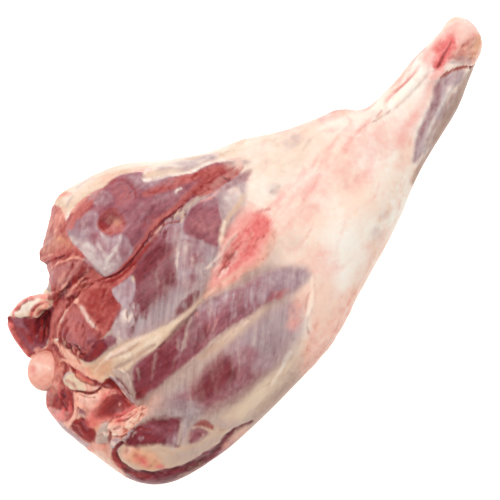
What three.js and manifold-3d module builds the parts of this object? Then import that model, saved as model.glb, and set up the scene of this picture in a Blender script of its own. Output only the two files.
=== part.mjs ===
// Raw leg of lamb, shank on, lying on its outer side with the inner side up.
// Millimetres. +X runs from the cut hip end to the hock, +Z is up, and the underside rests on z = 0.
// Two solids: the meat, and the thigh bone whose ball shows at the hip cut and whose shaft runs inside the meat.
import * as THREE from "three";
import { mergeVertices } from "three/addons/utils/BufferGeometryUtils.js";
import Module from "manifold-3d";

const wasm = await Module();
wasm.setup();

// ---- driving dimensions ----
const SEGMENTS_ALONG = 66; // stations from the hip cut to the hock
const SEGMENTS_AROUND = 60;
const SEGMENTS_ABOVE = 42; // those of them on the upper side
const CROWN_CLOSENESS = 0.15; // draws the upper segments together towards the crown
const SIDE_HEIGHT = 0.42; // the widest level of a section, as a share of its height
const SECTION_POWER = 2.35; // 2 is an ellipse, more is squarer
const END_FADE = 8; // how soon the relief begins at the two ends
const BONE_GAP = 0.3; // clearance between bone and meat

// Rungs of the leg in plan. Each joins a point on the -Y edge to a point on the +Y edge, and has the
// section's highest and lowest level. The first and last rungs close to a point.
const RUNGS = [
  { low: [-191.5, -14], high: [-191.5, -14], top: 24, under: 24 },
  { low: [-189.5, -30], high: [-190.5, -2], top: 36, under: 8 },
  { low: [-187.5, -47], high: [-186, 6], top: 44, under: 1 },
  { low: [-184.5, -65], high: [-177, 12], top: 51, under: -2 },
  { low: [-177, -79], high: [-166, 20], top: 58, under: -2 },
  { low: [-165, -88.5], high: [-155, 34], top: 64, under: -2 },
  { low: [-150, -94], high: [-142, 44], top: 69, under: -3 },
  { low: [-136, -97], high: [-131, 53], top: 73, under: -3 },
  { low: [-124, -99], high: [-124, 67], top: 76, under: -3 },
  { low: [-112, -100], high: [-118.5, 79.5], top: 78, under: -3 },
  { low: [-98, -100.5], high: [-103.5, 89.5], top: 80, under: -3 },
  { low: [-80, -100.8], high: [-85, 99.6], top: 80, under: -3 },
  { low: [-60, -100.5], high: [-64, 95], top: 79, under: -3 },
  { low: [-38, -100], high: [-40, 85.5], top: 76, under: -3 },
  { low: [-16, -97], high: [-18, 67], top: 72, under: -3 },
  { low: [6, -89.5], high: [4, 51], top: 68, under: -3 },
  { low: [28, -83], high: [28, 40.5], top: 64, under: -3 },
  { low: [50, -77], high: [50, 26], top: 60, under: -2 },
  { low: [70, -70], high: [70, 16.5], top: 55, under: -1 },
  { low: [90, -61.5], high: [90, 7.5], top: 48, under: 1 },
  { low: [108, -56], high: [99, -3], top: 43, under: 3 },
  { low: [128, -51.5], high: [126, -4.5], top: 39, under: 4 },
  { low: [146, -47], high: [146, -2.5], top: 37, under: 5 },
  { low: [160, -40.5], high: [160, -2.5], top: 38, under: 5 },
  { low: [172, -35.5], high: [173, -2.5], top: 39, under: 4 },
  { low: [183, -31.5], high: [183, 0], top: 38, under: 5 },
  { low: [190, -24], high: [190, -5], top: 32, under: 10 },
  { low: [192.5, -14], high: [192.5, -14], top: 22, under: 22 },
];

// Muscle bellies that swell the upper side: centre, half-length, half-width, turn in degrees, height.
const BELLIES = [
  { at: [-66, 62], size: [62, 27], turn: -8, rise: 7 }, // front thigh muscle
  { at: [-112, 68], size: [16, 20], turn: 20, rise: 4 }, // its cut end
  { at: [-138, 26], size: [17, 15], turn: 0, rise: 5 }, // round stump beside the ball
  { at: [-72, 12], size: [60, 16], turn: 6, rise: 3 }, // inner thigh
  { at: [-82, -28], size: [70, 8], turn: -6, rise: 2.5 },
  { at: [-84, -66], size: [62, 16], turn: -2, rise: 4 }, // back thigh
  { at: [52, -50], size: [26, 14], turn: 8, rise: 5 }, // knee
  { at: [150, -10], size: [40, 6], turn: 0, rise: 2 }, // heel tendon
];

// Valleys between the muscles and hollows of the cut: route in plan, half-width, depth.
const VALLEYS = [
  { route: [[-104, 41], [-92, 36], [-70, 35.5], [-40, 38], [-10, 36], [20, 26]], width: 8, depth: 6 },
  { route: [[-135, 52], [-118, 50], [-104, 41]], width: 8, depth: 6 },
  { route: [[-150, 8], [-146, -12], [-150, -24], [-146, -32]], width: 8, depth: 7 },
  { route: [[-140, -34], [-100, -20], [-60, -18]], width: 7, depth: 2.5 },
  { route: [[-176, -46], [-150, -46], [-130, -72]], width: 8, depth: 3 },
  { route: [[-179, -50], [-178, -66], [-166, -79], [-146, -90], [-126, -93]], width: 6, depth: 4 },
  { route: [[96, -44], [120, -38], [146, -27]], width: 6, depth: 1.5 },
  { route: [[146, -24], [158, -26], [169, -33]], width: 5, depth: 1.5 },
];

// Flap of rump meat beside the ball, lower than the rest, with the cavity that the pelvis left behind it.
const FLAP = {
  outline: [
    [-170.5, 37], [-169.5, 50], [-167.5, 57.5], [-165, 63], [-159, 62.5], [-152, 64], [-146.5, 62],
    [-141, 57.5], [-135, 54], [-124, 49], [-126, 38], [-148, 32], [-160, 31],
  ],
  bottom: 9,
  height: 36,
  round: 3,
  slopeFrom: -146, // towards the hip end from here the top falls away
  slope: 0.75,
};
const CAVITY = { at: [-151, 46, 48], size: [16, 6, 19], turn: 24 };

// Thigh bone: centre line from the ball to the knee, with its radius at each point.
const BALL = { at: [-171.8, 23.2, 37], size: [13.8, 12.4, 12], turn: 35 };
const SHAFT = [
  { at: [-172, 24.5, 36], radius: 7 },
  { at: [-160, 18, 37], radius: 8 },
  { at: [-138, 8, 40], radius: 10 },
  { at: [-105, -4, 40], radius: 9 },
  { at: [-40, -20, 37], radius: 8.5 },
  { at: [18, -32, 34], radius: 9 },
  { at: [46, -37, 33], radius: 13 },
];
const SHAFT_STEPS = 20;
const SHAFT_SIDES = 10;

// ---- helpers ----
// A closed geometry as a solid, turned right side out.
function solidFrom(geometry) {
  const bare = new THREE.BufferGeometry();
  bare.setAttribute("position", geometry.getAttribute("position"));
  if (geometry.index) bare.setIndex(geometry.index);
  const merged = mergeVertices(bare, 1e-3);
  const solid = new wasm.Manifold(
    new wasm.Mesh({
      numProp: 3,
      vertProperties: new Float32Array(merged.attributes.position.array),
      triVerts: new Uint32Array(merged.index.array),
    }),
  );
  if (solid.volume() >= 0) return solid;
  return solidFrom(flipped(merged));
}

// The same surface with its triangles turned round.
function flipped(geometry) {
  const index = geometry.index.array.slice();
  for (let i = 0; i < index.length; i += 3) [index[i + 1], index[i + 2]] = [index[i + 2], index[i + 1]];
  return new THREE.BufferGeometry()
    .setAttribute("position", geometry.getAttribute("position"))
    .setIndex(new THREE.BufferAttribute(index, 1));
}

function geometryFrom(solid) {
  const { numVert, numProp, vertProperties, triVerts } = solid.getMesh();
  const position = new Float32Array(numVert * 3);
  for (let i = 0; i < numVert; i++) position.set(vertProperties.subarray(i * numProp, i * numProp + 3), i * 3);
  const geometry = new THREE.BufferGeometry();
  geometry.setAttribute("position", new THREE.BufferAttribute(position, 3));
  geometry.setIndex(new THREE.BufferAttribute(new Uint32Array(triVerts), 1));
  geometry.computeVertexNormals();
  return geometry;
}

// Moves every vertex of a geometry by a function of its place.
function reshape(geometry, place) {
  const position = geometry.getAttribute("position");
  const point = new THREE.Vector3();
  for (let i = 0; i < position.count; i++) {
    place(point.fromBufferAttribute(position, i));
    position.setXYZ(i, point.x, point.y, point.z);
  }
  return geometry;
}

function ellipsoid({ at, size, turn }, grow = 0, sides = 20, rings = 12) {
  return new THREE.SphereGeometry(1, sides, rings)
    .scale(size[0] + grow, size[1] + grow, size[2] + grow)
    .rotateZ(THREE.MathUtils.degToRad(turn))
    .translate(...at);
}

const signedPower = (value, power) => Math.sign(value) * Math.abs(value) ** power;

// ---- the meat ----
const lowRail = new THREE.CatmullRomCurve3(RUNGS.map((r) => new THREE.Vector3(...r.low, 0)));
const highRail = new THREE.CatmullRomCurve3(RUNGS.map((r) => new THREE.Vector3(...r.high, 0)));
const levels = new THREE.CatmullRomCurve3(RUNGS.map((r, i) => new THREE.Vector3(i, r.top, r.under)));
const valleyPoints = VALLEYS.map((v) =>
  new THREE.SplineCurve(v.route.map((p) => new THREE.Vector2(...p))).getPoints(60),
);

// How far the upper side stands above or below the plain section at a place in plan.
function relief(x, y) {
  let rise = 0;
  for (const { at, size, turn, rise: height } of BELLIES) {
    const offset = new THREE.Vector2(x - at[0], y - at[1]).rotateAround(
      new THREE.Vector2(),
      -THREE.MathUtils.degToRad(turn),
    );
    rise += height * Math.exp(-((offset.x / size[0]) ** 2) - (offset.y / size[1]) ** 2);
  }
  VALLEYS.forEach(({ width, depth }, i) => {
    const here = new THREE.Vector2(x, y);
    const near = Math.min(...valleyPoints[i].map((p) => p.distanceTo(here)));
    rise -= depth * Math.exp(-((near / width) ** 2));
  });
  return rise;
}

// The place of a point of the unit sphere as a station along the leg, 0 to 1, and a turn about it, 0 to 1.
function stationAndTurn(p) {
  return {
    station: Math.acos(THREE.MathUtils.clamp(p.y, -1, 1)) / Math.PI,
    turn: THREE.MathUtils.euclideanModulo(Math.atan2(p.z, -p.x) / (2 * Math.PI), 1),
  };
}

// The angle round a section for a turn, with more of the turn spent on the upper side.
function sectionAngle(turn) {
  const share = SEGMENTS_ABOVE / SEGMENTS_AROUND;
  if (turn > share) return Math.PI * (1 + (turn - share) / (1 - share));
  const angle = (Math.PI * turn) / share;
  return angle + CROWN_CLOSENESS * Math.sin(2 * angle);
}

// A sphere with its poles on the rungs' ends is drawn out along the rails: its latitude is the
// station and its longitude runs round the section. The underside is flat where it reaches z = 0.
function haunch() {
  return reshape(new THREE.SphereGeometry(1, SEGMENTS_AROUND, SEGMENTS_ALONG), (p) => {
    const { station, turn } = stationAndTurn(p);
    const angle = sectionAngle(turn);
    const low = lowRail.getPoint(station);
    const high = highRail.getPoint(station);
    const level = levels.getPoint(station);
    const side = THREE.MathUtils.lerp(level.z, level.y, SIDE_HEIGHT);
    const across = signedPower(Math.cos(angle), 2 / SECTION_POWER);
    const lift = signedPower(Math.sin(angle), 2 / SECTION_POWER);
    p.copy(low).lerp(high, (1 + across) / 2);
    p.z = side + lift * (lift > 0 ? level.y - side : side - level.z);
    const fade = Math.min(1, END_FADE * Math.sin(Math.PI * station)); // the end points stay closed
    p.z += fade * Math.max(0, lift) * relief(p.x, p.y);
    p.z = Math.max(0, p.z);
  });
}

function rumpFlap() {
  const plan = new THREE.Shape(FLAP.outline.map((p) => new THREE.Vector2(...p)));
  const block = new THREE.ExtrudeGeometry(plan, {
    depth: FLAP.height,
    steps: 1,
    bevelThickness: FLAP.round,
    bevelSize: FLAP.round,
    bevelSegments: 3,
  });
  return reshape(block, (p) => {
    const share = Math.max(0, p.z / FLAP.height);
    p.z += FLAP.bottom - share * FLAP.slope * Math.max(0, FLAP.slopeFrom - p.x);
  });
}

// ---- the bone ----
// The ball and the tapering shaft as one solid, grown by a clearance for the channel it lies in.
function thighBone(grow) {
  const line = new THREE.CatmullRomCurve3(SHAFT.map((s) => new THREE.Vector3(...s.at)));
  const radii = new THREE.CatmullRomCurve3(SHAFT.map((s, i) => new THREE.Vector3(i, s.radius, 0)));
  const rod = new THREE.SphereGeometry(1, SHAFT_SIDES, SHAFT_STEPS);
  const frames = line.computeFrenetFrames(SHAFT_STEPS, false);
  reshape(rod, (p) => {
    const { station, turn } = stationAndTurn(p);
    const angle = 2 * Math.PI * turn;
    const closing = Math.sqrt(Math.max(0, 1 - Math.abs(2 * station - 1) ** 12)); // round ends
    const radius = (radii.getPoint(station).y + grow) * closing;
    const step = Math.round(station * SHAFT_STEPS);
    const overrun = grow * Math.sign(station - 0.5) * (step % SHAFT_STEPS === 0 ? 1 : 0);
    p.copy(line.getPoint(station))
      .addScaledVector(frames.normals[step], radius * Math.cos(angle))
      .addScaledVector(frames.binormals[step], radius * Math.sin(angle))
      .addScaledVector(frames.tangents[step], overrun);
  });
  return solidFrom(rod).add(solidFrom(ellipsoid(BALL, grow)));
}

const bone = thighBone(0);
const meat = solidFrom(haunch())
  .add(solidFrom(rumpFlap()))
  .subtract(solidFrom(ellipsoid(CAVITY)))
  .subtract(thighBone(BONE_GAP));

// ---- assembly ----
function part(name, solid, color, roughness) {
  const mesh = new THREE.Mesh(
    geometryFrom(solid),
    new THREE.MeshStandardMaterial({ color, roughness, metalness: 0 }),
  );
  mesh.name = name;
  return mesh;
}

const leg = new THREE.Group();
leg.add(part("meat", meat, 0xc98a83, 0.45), part("thigh_bone", bone, 0xe9a796, 0.35));

export default leg;
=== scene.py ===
"""Looks of a raw leg of lamb that lies on its outer side: the meat and the ball of the thigh bone."""
import logging
import math
from collections.abc import Iterable
from dataclasses import dataclass
from enum import Enum

import bmesh
import bpy
import numpy as np
from mathutils import Matrix, Vector
from mathutils.bvhtree import BVHTree


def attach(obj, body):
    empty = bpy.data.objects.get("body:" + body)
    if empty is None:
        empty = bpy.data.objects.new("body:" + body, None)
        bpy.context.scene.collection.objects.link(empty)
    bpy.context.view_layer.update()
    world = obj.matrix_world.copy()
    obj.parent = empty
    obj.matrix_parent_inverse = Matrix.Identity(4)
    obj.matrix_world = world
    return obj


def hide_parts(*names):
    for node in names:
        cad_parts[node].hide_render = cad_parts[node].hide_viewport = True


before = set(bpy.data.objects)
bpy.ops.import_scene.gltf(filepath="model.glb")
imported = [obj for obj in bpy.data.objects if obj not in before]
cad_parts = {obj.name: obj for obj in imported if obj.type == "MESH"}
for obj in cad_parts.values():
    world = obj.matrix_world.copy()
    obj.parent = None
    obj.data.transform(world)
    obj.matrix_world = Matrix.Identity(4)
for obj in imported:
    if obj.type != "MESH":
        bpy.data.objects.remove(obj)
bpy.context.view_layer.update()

log = logging.getLogger("leg_of_lamb")
MM = 0.001
TINY = 1e-9
WELD = 1e-6
# how hollow the surface is; the finish turns it into painted shade in crevices and painted highlight on
# ridges
HOLLOW = "hollow"
Triple = tuple[float, float, float]
Route = list[tuple[float, float]]


# ---- tissues ----
class Tissue(Enum):
    """What the surface is made of, with painted shade and highlight among them; the value names the mesh
    attribute that holds its share.
    """

    # pale fat, and painted highlights and lighter lit parts
    PALE_AND_HIGHLIGHT = "pale_fat_and_highlight"
    CREAM = "cream_fat"
    AMBER = "amber_fat"
    PEACH = "peach_fat"
    FELL = "fell"
    SILVER = "silverskin"
    MAUVE = "veiled_muscle"
    LEAN = "lean"
    CUT = "cut_face"
    BRICK = "brick_lean"
    BLUSH = "blush"
    BLOOD = "blood"
    # painted shade: the dark that lies in crevices, cracks and cavities
    CREVICE_SHADE = "crevice_shade"
    # tan fat, and painted shade along the lower edges, in grooves and in creases
    TAN = "tan_fat_and_shade"
    ASH = "grey_veil"


PALE_AND_HIGHLIGHT, CREAM, AMBER, PEACH, FELL, SILVER, MAUVE, LEAN, CUT, BRICK, BLUSH, BLOOD, CREVICE_SHADE, TAN, ASH = Tissue


@dataclass(frozen=True)
class Finish:
    """How one tissue looks.

    Args:
        light: its lighter colour, linear.
        dark: its darker colour.
        roughness: of its surface.
        wet: coat weight of the moisture on it.
        gain: how sharply its edge is drawn, 1 for a soft blend.
    """

    light: Triple
    dark: Triple
    roughness: float = 0.5
    wet: float = 0.1
    gain: float = 1.0


FINISHES: dict[Tissue, Finish] = {
    PALE_AND_HIGHLIGHT: Finish((0.98, 0.89, 0.79), (0.95, 0.71, 0.58)),
    CREAM: Finish((0.83, 0.63, 0.46), (0.70, 0.45, 0.31)),
    AMBER: Finish((0.82, 0.43, 0.25), (0.70, 0.28, 0.14)),
    PEACH: Finish((0.97, 0.54, 0.41), (0.85, 0.31, 0.22), roughness=0.45, wet=0.12),
    FELL: Finish((0.60, 0.43, 0.36), (0.43, 0.27, 0.23)),
    SILVER: Finish((0.58, 0.42, 0.43), (0.38, 0.235, 0.265), roughness=0.42, wet=0.12),
    MAUVE: Finish((0.41, 0.135, 0.16), (0.25, 0.07, 0.092), roughness=0.42, wet=0.12),
    LEAN: Finish((0.27, 0.042, 0.055), (0.15, 0.013, 0.02), roughness=0.4, wet=0.12, gain=1.2),
    CUT: Finish((0.62, 0.175, 0.15), (0.42, 0.072, 0.064), roughness=0.45, wet=0.12, gain=1.3),
    BRICK: Finish((0.40, 0.042, 0.037), (0.24, 0.013, 0.013), roughness=0.42, wet=0.12, gain=1.3),
    BLUSH: Finish((0.96, 0.46, 0.40), (0.87, 0.30, 0.26)),
    BLOOD: Finish((0.90, 0.24, 0.22), (0.70, 0.09, 0.085), roughness=0.4, wet=0.15),
    # painted shade of crevices, cracks and cavities
    CREVICE_SHADE: Finish((0.17, 0.012, 0.016), (0.08, 0.005, 0.007), gain=1.2),
    TAN: Finish((0.52, 0.32, 0.23), (0.39, 0.22, 0.16)),
    ASH: Finish((0.50, 0.39, 0.38), (0.34, 0.245, 0.255), roughness=0.45, wet=0.12),
}


# ---- noise and plane geometry ----
class Ripple:
    """Smooth seeded noise from -1 to 1 over places in millimetres: a sum of waves in scattered directions.

    `SIZES` is how far the waves' lengths spread, and `LEVEL` evens out the height of their sum.
    """

    WAVES = 26
    SIZES = (0.7, 1.7)
    LEVEL = 1.4

    def __init__(self, seed: int, size: float, stretch: Triple = (1, 1, 1), turn: float = 0.0) -> None:
        """Draws the waves.

        Args:
            seed: the drawing's seed.
            size: how wide a blob is, in millimetres.
            stretch: how many times longer the blobs are along each axis.
            turn: of the long axis about Z, in degrees.
        """
        draw = np.random.default_rng(seed)
        heading = draw.normal(size=(self.WAVES, 3))
        heading /= np.linalg.norm(heading, axis=1)[:, None]
        pitch = math.pi / (size * draw.uniform(*self.SIZES, self.WAVES))
        turned = np.array(Matrix.Rotation(math.radians(turn), 3, "Z"))
        self.waves = (heading * pitch[:, None] / np.array(stretch)) @ turned.T
        self.starts = draw.uniform(0, 2 * math.pi, self.WAVES)

    def __call__(self, places: np.ndarray) -> np.ndarray:
        """Noise at each place."""
        total = np.zeros(len(places))
        for wave, start in zip(self.waves, self.starts):
            total += np.sin(places @ wave + start)
        return np.clip(total / math.sqrt(self.LEVEL * self.WAVES), -1, 1)


def smoothstep(low: float, high: float, value: np.ndarray) -> np.ndarray:
    """0 below low, 1 above high and smooth in between."""
    share = np.clip((value - low) / (high - low), 0, 1)
    return share * share * (3 - 2 * share)


def rounded(route: Route, closed: bool) -> np.ndarray:
    """A route with its corners cut twice, so that it runs in curves."""
    near, far = 0.75, 0.25
    points = np.array(route, float)
    for _ in range(2):
        here = points if closed else points[:-1]
        following = np.roll(points, -1, axis=0) if closed else points[1:]
        cut = np.stack([near * here + far * following, far * here + near * following], 1).reshape(-1, 2)
        points = cut if closed else np.vstack([points[:1], cut, points[-1:]])
    return points


def distance_to(points: np.ndarray, places: np.ndarray, closed: bool) -> tuple[np.ndarray, np.ndarray]:
    """How far each place is from a line through points.

    Args:
        points: the line's points, one row each.
        places: the places asked about, one row each.
        closed: whether the line returns to its start.
    Returns:
        The distances, and how far along the line the nearest point is, from 0 to 1.
    """
    ends = np.roll(points, -1, axis=0) if closed else points[1:]
    starts = points if closed else points[:-1]
    nearest = np.full(len(places), np.inf)
    along = np.zeros(len(places))
    for number, (start, end) in enumerate(zip(starts, ends)):
        run = end - start
        share = np.clip((places - start) @ run / max(run @ run, TINY), 0, 1)
        gap = np.linalg.norm(places - start - share[:, None] * run, axis=1)
        closer = gap < nearest
        nearest[closer] = gap[closer]
        along[closer] = (number + share[closer]) / len(starts)
    return nearest, along


def inside(points: np.ndarray, places: np.ndarray) -> np.ndarray:
    """Whether each place lies inside a closed line."""
    within = np.zeros(len(places), bool)
    x, y = places[:, 0], places[:, 1]
    for (x0, y0), (x1, y1) in zip(points, np.roll(points, -1, axis=0)):
        if y0 == y1:
            continue
        crosses = (y0 > y) != (y1 > y)
        within ^= crosses & (x < (x1 - x0) * (y - y0) / (y1 - y0) + x0)
    return within


# ---- marks ----
class Side(Enum):
    """Which side of the leg a mark is on."""

    UPPER = "upper"
    UNDER = "under"


@dataclass(frozen=True)
class Mark:
    """One touch of knife, thumb or fat on the surface, in plan.

    Args:
        tissue: what it lays down.
        route: the points of its middle line, or of its outline where it is an area.
        area: whether the route is an outline.
        width: half-width of a line, in millimetres.
        soft: how wide its edge is, in millimetres.
        ragged: how far its edge wanders, in millimetres.
        lift: how far it stands up, or is cut in where it is negative, in millimetres.
        lumps: how high the lumps on it are, in millimetres.
        paint: how much of what was there it covers.
        patchy: how unevenly it covers.
        taper: whether a line narrows to its ends.
        side: the side of the leg.
    """

    tissue: Tissue
    route: Route
    area: bool = False
    width: float = 1.5
    soft: float = 1.5
    ragged: float = 0.5
    lift: float = 0.0
    lumps: float = 0.0
    paint: float = 1.0
    patchy: float = 0.1
    taper: bool = True
    side: Side = Side.UPPER


def pairs(route: tuple[float, ...]) -> Route:
    """The points of a route that is given as X and Y in turn."""
    return list(zip(route[::2], route[1::2]))


def patch(tissue: Tissue, soft: float, paint: float, *route: float, **how: float) -> Mark:
    """An area with an outline."""
    return Mark(tissue, pairs(route), area=True, soft=soft, paint=paint, **how)


def line(tissue: Tissue, width: float, soft: float, paint: float, *route: float, **how: float) -> Mark:
    """A stroke along a route."""
    return Mark(tissue, pairs(route), width=width, soft=soft, paint=paint, **how)


def spot(tissue: Tissue, radius: float, soft: float, paint: float, x: float, y: float, **how: float) -> Mark:
    """A round area."""
    corners = 6
    turns = [math.tau * step / corners for step in range(corners)]
    route = [(x + radius * math.cos(a), y + radius * math.sin(a)) for a in turns]
    return Mark(tissue, route, area=True, soft=soft, paint=paint, **how)


def threads(
    tissue: Tissue,
    seed: int,
    count: int,
    angle: float,
    length: float,
    width: float,
    soft: float,
    paint: float,
    *where: float,
    **how: float,
) -> list[Mark]:
    """Scattered threads that all run much the same way.

    Args:
        tissue: what they are made of.
        seed: of the scatter.
        count: how many there are.
        angle: that they run at, in degrees from +X.
        length: of a thread, in millimetres.
        width: half-width of a thread, in millimetres.
        soft: how wide a thread's edge is, in millimetres.
        paint: how much of what was there a thread covers.
        where: the outline that they start in, as X and Y in turn.
        how: what else a mark takes.
    Returns:
        The marks.
    """
    tries, swing, bend = 12, 7, 0.08
    lengths, widths = (0.4, 1.3), (0.7, 1.2)
    draw = np.random.default_rng(seed)
    outline = np.array(pairs(where), float)
    tried = draw.uniform(outline.min(0), outline.max(0), (count * tries, 2))
    made = []
    for start in tried[inside(outline, tried)][:count]:
        heading = math.radians(angle + draw.normal(0, swing))
        run = np.array([math.cos(heading), math.sin(heading)]) * length * draw.uniform(*lengths)
        bow = np.array([-run[1], run[0]]) * draw.normal(0, bend)
        route = [tuple(start - run / 2), tuple(start + bow), tuple(start + run / 2)]
        breadth = width * draw.uniform(*widths)
        made.append(Mark(tissue, route, width=breadth, soft=soft, paint=paint, **how))
    return made


@dataclass(frozen=True)
class Roll:
    """A fold or lump of flesh that is laid along a route before the surface is evened out.

    Args:
        route: its middle line in plan, in millimetres; a single point makes a lump.
        radius: half its width.
        rise: how far its top stands above what it lies on.
        thick: half its height.
    """

    route: Route
    radius: float
    rise: float
    thick: float


def roll(radius: float, rise: float, thick: float, *route: float) -> Roll:
    """A roll along a route that is given as X and Y in turn."""
    return Roll(pairs(route), radius, rise, thick)


# ---- modelling ----
class Carving:
    """A mesh that marks are carved and coloured into.

    Its places are in millimetres. What a mark lays down covers what was there in proportion.
    `FRAY` to `DRIFTS` are the seeds and sizes of its noises. `DRIFT` is how far marks wander. Between the
    two upward parts of the normal in `FACING` the under side turns into the upper side. `TAPER` is how fast
    a line widens and its least width, `UNSURE` how unevenly a half cover lies, `CREASE` how wide creases
    are, and `HOLLOW_STEPS` after how many rounds of evening out the surface is compared with itself.
    """

    FRAY = ((0, 9.0), (1, 4.0), (2, 1.8))
    COVER = ((9, 13.0), (10, 6.0), (12, 3.0))
    LUMPS = (11, 4.0)
    DRIFTS = ((3, 12.0), (4, 12.0))
    DRIFT = 0.9
    FACING = (-0.45, 0.1)
    TAPER = (4, 0.25)
    UNSURE = 6
    CREASE = 0.13
    HOLLOW_STEPS = (6, 24)

    def __init__(self, mesh: bpy.types.Mesh, ground: Tissue, seed: int) -> None:
        """Reads the mesh.

        Args:
            mesh: the smooth mesh to work on.
            ground: the tissue that it is all made of at first.
            seed: of the noise in its edges and lumps.
        """
        self.mesh = mesh
        count = len(mesh.vertices)
        flat = np.zeros(count * 3)
        mesh.vertices.foreach_get("co", flat)
        self.places = flat.reshape(-1, 3) / MM
        mesh.vertices.foreach_get("normal", flat)
        self.normals = flat.reshape(-1, 3).copy()
        self.height = np.zeros(count)
        self.tissues = list(Tissue)
        self.shares = np.zeros((count, len(self.tissues)))
        self.shares[:, self.tissues.index(ground)] = 1
        drift = np.stack([self.layered(seed, layer) for layer in self.DRIFTS], 1)
        self.plan = self.places[:, :2] + self.DRIFT * drift
        self.fray = self.layered(seed, *self.FRAY)
        self.cover = self.layered(seed, *self.COVER)
        self.lump_noise = self.layered(seed, self.LUMPS)
        self.upper = smoothstep(*self.FACING, self.normals[:, 2])

    def layered(self, seed: int, *layers: tuple[int, float]) -> np.ndarray:
        """Noise of several sizes at every vertex.

        Args:
            seed: the first seed.
            layers: what each layer adds to the seed, and its size in millimetres.
        Returns:
            The noise.
        """
        total = sum(Ripple(seed + more, size)(self.places) for more, size in layers)
        return total / len(layers) ** 0.5

    def share_of(self, mark: Mark) -> tuple[np.ndarray, np.ndarray]:
        """Where a mark lies and how fully.

        Args:
            mark: the mark.
        Returns:
            The numbers of the vertices that it reaches, and its share at each.
        """
        points = rounded(mark.route, mark.area)
        reach = mark.soft + 2 * mark.ragged + (0 if mark.area else mark.width)
        low, high = points.min(0) - reach, points.max(0) + reach
        near = np.all((self.plan > low) & (self.plan < high), axis=1)
        facing = self.upper if mark.side is Side.UPPER else 1 - self.upper
        reached = np.nonzero(near & (facing > 0))[0]
        places = self.plan[reached]
        gap, along = distance_to(points, places, mark.area)
        if mark.area:
            gap = np.where(inside(points, places), -gap, gap)
        else:
            slope, least = self.TAPER
            narrowing = np.minimum(1, slope * np.minimum(along, 1 - along) + least) if mark.taper else 1.0
            gap = gap - mark.width * narrowing
        gap = gap + mark.ragged * self.fray[reached]
        return reached, smoothstep(mark.soft / 2, -mark.soft / 2, gap) * facing[reached]

    def apply(self, marks: list[Mark]) -> None:
        """Carves and colours marks in their order."""
        for mark in marks:
            reached, share = self.share_of(mark)
            self.height[reached] += share * (mark.lift + mark.lumps * self.lump_noise[reached])
            unsure = self.UNSURE * mark.paint * (1 - mark.paint) * mark.patchy
            cover = share * np.clip(mark.paint + unsure * self.cover[reached], 0, 1)
            self.shares[reached] *= (1 - cover)[:, None]
            self.shares[reached, self.tissues.index(mark.tissue)] += cover

    def roughen(self, tissue: Tissue, ripple: Ripple, height: float) -> None:
        """Gives one tissue its own relief.

        Args:
            tissue: the tissue.
            ripple: the relief's noise.
            height: of the relief, in millimetres.
        """
        self.height += self.shares[:, self.tissues.index(tissue)] * height * ripple(self.places)

    def crease(self, tissue: Tissue, into: Tissue, ripple: Ripple, depth: float, paint: float) -> None:
        """Runs fine creases, or raised threads where the depth is negative, through one tissue.

        Args:
            tissue: the tissue that is creased.
            into: the tissue that shows along the creases.
            ripple: noise whose zero lines the creases follow.
            depth: of a crease, in millimetres.
            paint: how much of the tissue it covers.
        """
        near = np.exp(-((ripple(self.places) / self.CREASE) ** 2))
        near *= self.shares[:, self.tissues.index(tissue)]
        near *= self.upper * (0.5 + 0.5 * self.cover)
        near = np.clip(near, 0, 1)
        self.height -= near * depth
        cover = near * paint
        self.shares *= (1 - cover)[:, None]
        self.shares[:, self.tissues.index(into)] += cover

    def hollows(self, moved: np.ndarray) -> np.ndarray:
        """How hollow the surface is at each vertex: above 0 in a crevice and below 0 on a ridge."""
        ends = np.zeros(len(self.mesh.edges) * 2, np.int32)
        self.mesh.edges.foreach_get("vertices", ends)
        ends = ends.reshape(-1, 2)
        count = np.maximum(1, np.bincount(ends.ravel(), minlength=len(moved)))[:, None]
        evened = moved
        deep = np.zeros(len(moved))
        for step in range(1, self.HOLLOW_STEPS[-1] + 1):
            total = np.stack(
                [
                    np.bincount(ends[:, 0], evened[ends[:, 1], axis], len(moved))
                    + np.bincount(ends[:, 1], evened[ends[:, 0], axis], len(moved))
                    for axis in range(3)
                ],
                1,
            )
            evened = 0.5 * evened + 0.5 * total / count
            if step in self.HOLLOW_STEPS:
                deep += np.einsum("ij,ij->i", evened - moved, self.normals)
        return np.clip(deep, -1, 1)

    def settle(self) -> None:
        """Writes the shape, flat where it lies on the ground, and the shares back to the mesh."""
        moved = self.places + self.normals * self.height[:, None]
        moved[:, 2] = np.maximum(moved[:, 2], 0)
        self.mesh.vertices.foreach_set("co", (moved * MM).ravel())
        hollow = self.mesh.attributes.new(HOLLOW, "FLOAT", "POINT")
        hollow.data.foreach_set("value", self.hollows(moved).astype(np.float32))
        for number, tissue in enumerate(self.tissues):
            attribute = self.mesh.attributes.new(tissue.value, "FLOAT", "POINT")
            attribute.data.foreach_set("value", self.shares[:, number].astype(np.float32))
        self.mesh.update()


def cad_copy(node: str) -> bmesh.types.BMesh:
    """A CAD node's mesh as a bmesh of its own, with its loose triangles joined."""
    made = bmesh.new()
    made.from_mesh(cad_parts[node].data)
    bmesh.ops.remove_doubles(made, verts=made.verts, dist=WELD)
    return made


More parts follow.
